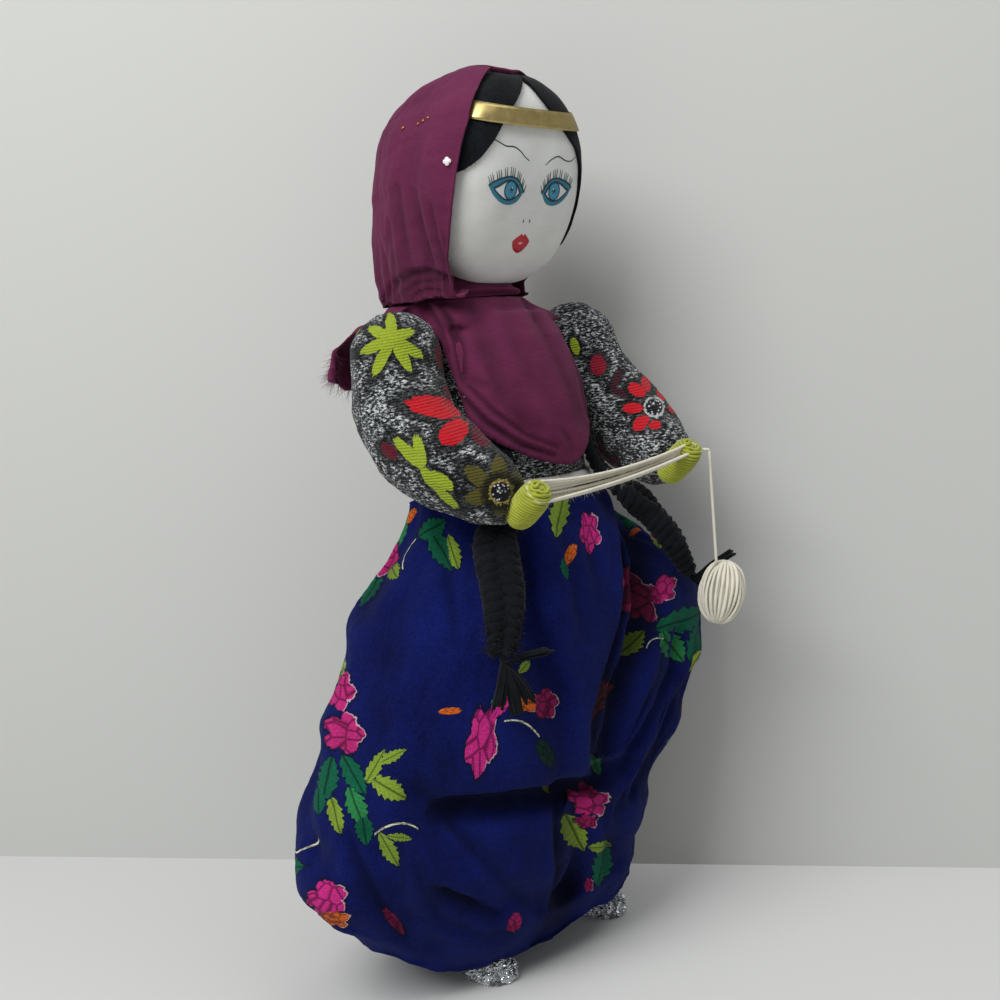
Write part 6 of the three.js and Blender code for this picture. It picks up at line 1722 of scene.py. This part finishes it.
plait_steps, plait_turns, plait_free, plait_hairs = 260, 11, 120, 900
tuft_length, tuft_yarns = 27, 16
for name, s in sides:
    hinge, end = plait_hinge[name], plait_end[name]
    rest = blouse_grow + 0.3 + 2.2 + 1  # and clearance, half a flat plait, the yarn's swell
    path = [before_body(s * 21, 306, rest), before_body(s * 26, 290, rest),
            before_body(s * 29, 270, rest), before_body(s * 30, 262, rest),
            before_body(s * 33, 248, rest + 6), np.array((s * 41, -47, 236)), hinge,
            (hinge + end) / 2 + np.array((0, -3, 0)), end]
    middle_line = smooth_line(path, plait_steps)
    lengths = np.linspace(0, 1, plait_steps)
    tangent = unit(np.gradient(middle_line, axis=0))
    out = (middle_line - (0, 12, 0)) * (1, 1, 0)
    out = unit(out - tangent * (out * tangent).sum(axis=1)[:, None])
    across = np.cross(tangent, out)
    wide = np.interp(lengths, [0, 0.35, 0.6, 0.8, 1], [4.6, 4.8, 5.2, 4.9, 3.4])
    thick = np.interp(lengths, [0, 0.45, 0.6, 0.8, 1], [1.0, 1.4, 3.2, 3.4, 2.4])
    fuller = np.interp(lengths, [0.5, 0.62, 1], [1.0, 1.3, 1.25]) if name == "right" else 1.0
    wide = wide * fuller
    parts = []
    for strand in range(3):
        phase = 2 * np.pi * (lengths * plait_turns + strand / 3)
        line = (middle_line + across * (wide * np.sin(phase))[:, None]
                + out * (thick * np.sin(2 * phase))[:, None])
        size = np.interp(lengths, [0, 0.45, 0.6, 0.85, 1], [2.0, 2.3, 3.6, 3.5, 2.0]) / 1000 * fuller
        parts.append(yarn(placed(line), 1.0, sides=12, plies=5, twist=0.03,
                          taper=lambda t, size=size: float(np.interp(t, lengths, size))))
    free, free_across, free_out = placed(middle_line[plait_free:]), across[plait_free:], out[plait_free:]
    picked = [chance.randrange(len(free)) for _ in range(plait_hairs)]
    sides_of = [chance.uniform(-1, 1) for _ in picked]
    spread = 7 if name == "right" else 4.5
    starts = [free[i] + (spread * v * free_across[i] + 3 * free_out[i]) / 1000
              for i, v in zip(picked, sides_of)]
    ways = [(v * free_across[i] + 0.5 * free_out[i]) * 1.5 for i, v in zip(picked, sides_of)]
    parts.append(stray_hairs(starts, ways, 0.0075 if name == "right" else 0.0022, 0.00026, 31))
    corners, faces = several(parts)
    plait = mesh_piece(f"{name}_braid", corners, faces, black_wool)
    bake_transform(plait)
    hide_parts(f"{name}_plait_upper", f"{name}_plait_end")
    heading = (end - hinge) / np.linalg.norm(end - hinge)
    knot = end + heading * 4
    ends = {"right": [[0.1, -0.2, -1, 0.9], [-0.45, -0.15, -1, 0.75], [0.5, -0.2, -0.9, 0.85],
                      [0.95, -0.35, 0.1, 0.8]],
            "left": [[0.92, -0.1, 0.28, 1.1], [0.88, -0.08, -0.32, 1.05], [0.72, -0.08, -0.66, 0.95]]}
    parts = []
    for x, y, z, share in ends[name]:
        way = np.array((x, y, z)) / np.linalg.norm((x, y, z)) * tuft_length * share
        for k in range(tuft_yarns):
            turn_at = 2.4 * k
            off = (0.6 + 2.5 * math.sqrt(k / tuft_yarns)) * np.array(
                (math.cos(turn_at), 0.6 * math.sin(turn_at), math.sin(turn_at) * math.cos(turn_at)))
            spread = 1 + 0.35 * chance.uniform(-1, 1)
            line = smooth_line([end - heading * 2, knot + off * 0.4,
                                knot + way * 0.45 + (0, -1.2, 0.8) + off * 0.9,
                                knot + way * (0.9 + 0.12 * chance.random()) + off * spread], 12)
            parts.append(yarn(placed(line), 0.00075, sides=6, twist=0.006))
    corners, faces = several(parts)
    tassel = mesh_piece(f"{name}_tassel", corners, faces, black_wool)
    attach(tassel, f"{name}_plait")
    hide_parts(f"{name}_plait_tuft")

# Feet: the legs' ends wrapped in silver tinsel foil, crumpled round a padded sole into small
# flat facets.
silver_tinsel, tree, surface = finish_called("silver_tinsel_foil", 0.2, metallic=0.95)
place = node(tree, "TexCoord", {}).outputs["Object"]
facets = node(tree, "TexVoronoi", {"Vector": place, "Scale": 300, "Randomness": 1.0})
# painted reflection: each flat facet gets its own shade from grey to near white, standing in for the
# light it would reflect
tone = node(tree, "ValToRGB", {0: facets.outputs["Color"]}, {0: surface.inputs["Base Color"]})
tone.color_ramp.elements[0].position, tone.color_ramp.elements[0].color = 0.2, linear("#9a9ea2")
tone.color_ramp.elements[1].position, tone.color_ramp.elements[1].color = 0.7, linear("#eceef0")
node(tree, "Bump", {"Height": facets.outputs["Distance"], "Strength": 0.7, "Distance": 0.0008},
     {0: surface.inputs["Normal"]})
foot_rows, foot_height, foot_half_width, sole_length, ankle_length = 60, 24, 12.5, 36, 25
foot_profile = ([0, 0.6, 4, 9, 14, 19, 24], [0.86, 0.97, 1.02, 0.97, 0.86, 0.8, 0.76])
for name, s in sides:
    rows = []
    for height in np.linspace(0, foot_height, foot_rows):
        share = float(np.interp(height, *foot_profile))
        long = sole_length + (ankle_length - sole_length) * float(ease(6, 18, np.array(height)))
        rows.append(np.stack((foot_half_width * share * np.cos(around),
                              long / 2 * share * np.sin(around),
                              np.full(body_columns, height)), axis=-1))
    foil = np.array(rows)
    crumpled = (0.09 * np.abs(ripples(foil.reshape(-1, 3), 5, 91))
                + 0.06 * np.abs(ripples(foil.reshape(-1, 3), 2.2, 92)))
    crumpled = crumpled.reshape(foot_rows, body_columns, 1)
    foil[:, :, :2] *= 1 - np.minimum(crumpled, 0.22)
    corners = placed(foil.reshape(-1, 3) + (s * leg_x, foot_y[name], 0))
    foot = mesh_piece(f"{name}_foot_tinsel", corners,
                      grid_faces(foot_rows, body_columns, capped=True), silver_tinsel, smooth=False)
    outward_faces(foot, placed((s * leg_x, foot_y[name], 10)))
    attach(foot, "body")
    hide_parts(f"{name}_foot_wrap")

# Stuffing and wires: what the cloth hides. The body, neck and legs are white cotton drawn over
# wadding, the hands' and ball's cores are wadding, and the wires are soft iron.
stuffed = [  # CAD piece, its body, its stuff, how much it is drawn in
    ("torso", "body", white_cotton, 0.0004), ("neck", "body", white_cotton, 0.0004),
    ("right_leg", "body", white_cotton, 0.0003), ("left_leg", "body", white_cotton, 0.0003),
    ("right_hand_core", "right_arm", wadding_finish, 0.0003),
    ("left_hand_core", "left_arm", wadding_finish, 0.0003),
    ("yarn_ball_core", "wool_ball", wadding_finish, 0.0003),
]
for source, body, stuff, drawn in stuffed:
    limb = padded_copy(f"{source}_stuffed", source, stuff, 0.0014, 4, -drawn)
    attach(limb, body)
    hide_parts(source)
iron, tree, surface = finish_called("soft_iron_wire", 0.42, metallic=0.95)
place = node(tree, "TexCoord", {}).outputs["Object"]
rust = node(tree, "TexNoise", {"Vector": place, "Scale": 300, "Detail": 4})
node(tree, "Mix", {0: rust.outputs[0], 6: linear("#5b5a58"), 7: linear("#8f8e8b")},
     {2: surface.inputs["Base Color"]}, data_type="RGBA")
for source in ("wire_frame", "right_arm_wire", "left_arm_wire"):
    wire = bpy.data.objects[source]
    wire.data.materials.clear()
    wire.data.materials.append(iron)

# Studio: a pale floor and a pale wall, both matt paint. The light is plain and soft and falls
# from above, on the left of the picture.
def stage_finish(name, shade, seen_from_front):
    """Matt pale paint; a wall that stands near is left clear from behind."""
    material, tree, surface = finish_called(name, 0.9)
    surface.inputs["Base Color"].default_value = linear(shade)
    if seen_from_front:
        back = node(tree, "NewGeometry", {}).outputs["Backfacing"]
        clear = node(tree, "BsdfTransparent", {})
        output = [n for n in tree.nodes if n.type == "OUTPUT_MATERIAL"][0]
        node(tree, "MixShader", {0: back, 1: surface.outputs[0], 2: clear.outputs[0]},
             {0: output.inputs[0]})
    return material


def on_floor(pixel):
    """The point of the floor seen at a pixel."""
    way = sight_through(pixel)
    return Vector(camera_place - way * camera_place[2] / way[2])


foot_ends = (on_floor((0, 856)), on_floor((1000, 868)))
wall_side = (foot_ends[1] - foot_ends[0]).normalized()
wall_foot = (foot_ends[0] + foot_ends[1]) / 2
wall_way = Vector((0, 0, 1)).cross(wall_side)
floor_corners = [wall_foot + wall_side * a * 3 + wall_way * b * 3 for a, b in
                 ((-1, -1), (1, -1), (1, 1), (-1, 1))]
floor = mesh_piece("floor", floor_corners, [(0, 1, 2, 3)], stage_finish("pale_floor", "#d3d4d2", False))
wall_corners = [wall_foot + wall_side * a * 3 + Vector((0, 0, b)) for a, b in
                ((-1, 0), (1, 0), (1, 2.5), (-1, 2.5))]
wall = mesh_piece("wall", wall_corners, [(0, 1, 2, 3)], stage_finish("pale_wall", "#c3c4c1", True))
wall.visible_shadow = False
wall.visible_diffuse = False
wall.visible_glossy = False
scene.world = bpy.data.worlds.new("studio")
scene.world.use_nodes = True
scene.world.node_tree.nodes["Background"].inputs[0].default_value = linear("#f2f3f3")
scene.world.node_tree.nodes["Background"].inputs[1].default_value = 0.36
for name, place, power, size in (("window", (-1.1, -0.3, 1.3), 21, 0.9),
                                 ("ceiling", (0.2, -0.6, 1.9), 9, 1.4)):
    lamp = bpy.data.lights.new(name, "AREA")
    lamp.energy, lamp.size = power, size
    lamp_at = bpy.data.objects.new(name, lamp)
    scene.collection.objects.link(lamp_at)
    lamp_at.location = place
    aim = Vector((0, 0, 0.22)) - Vector(place)
    lamp_at.rotation_euler = aim.to_track_quat("-Z", "Y").to_euler()
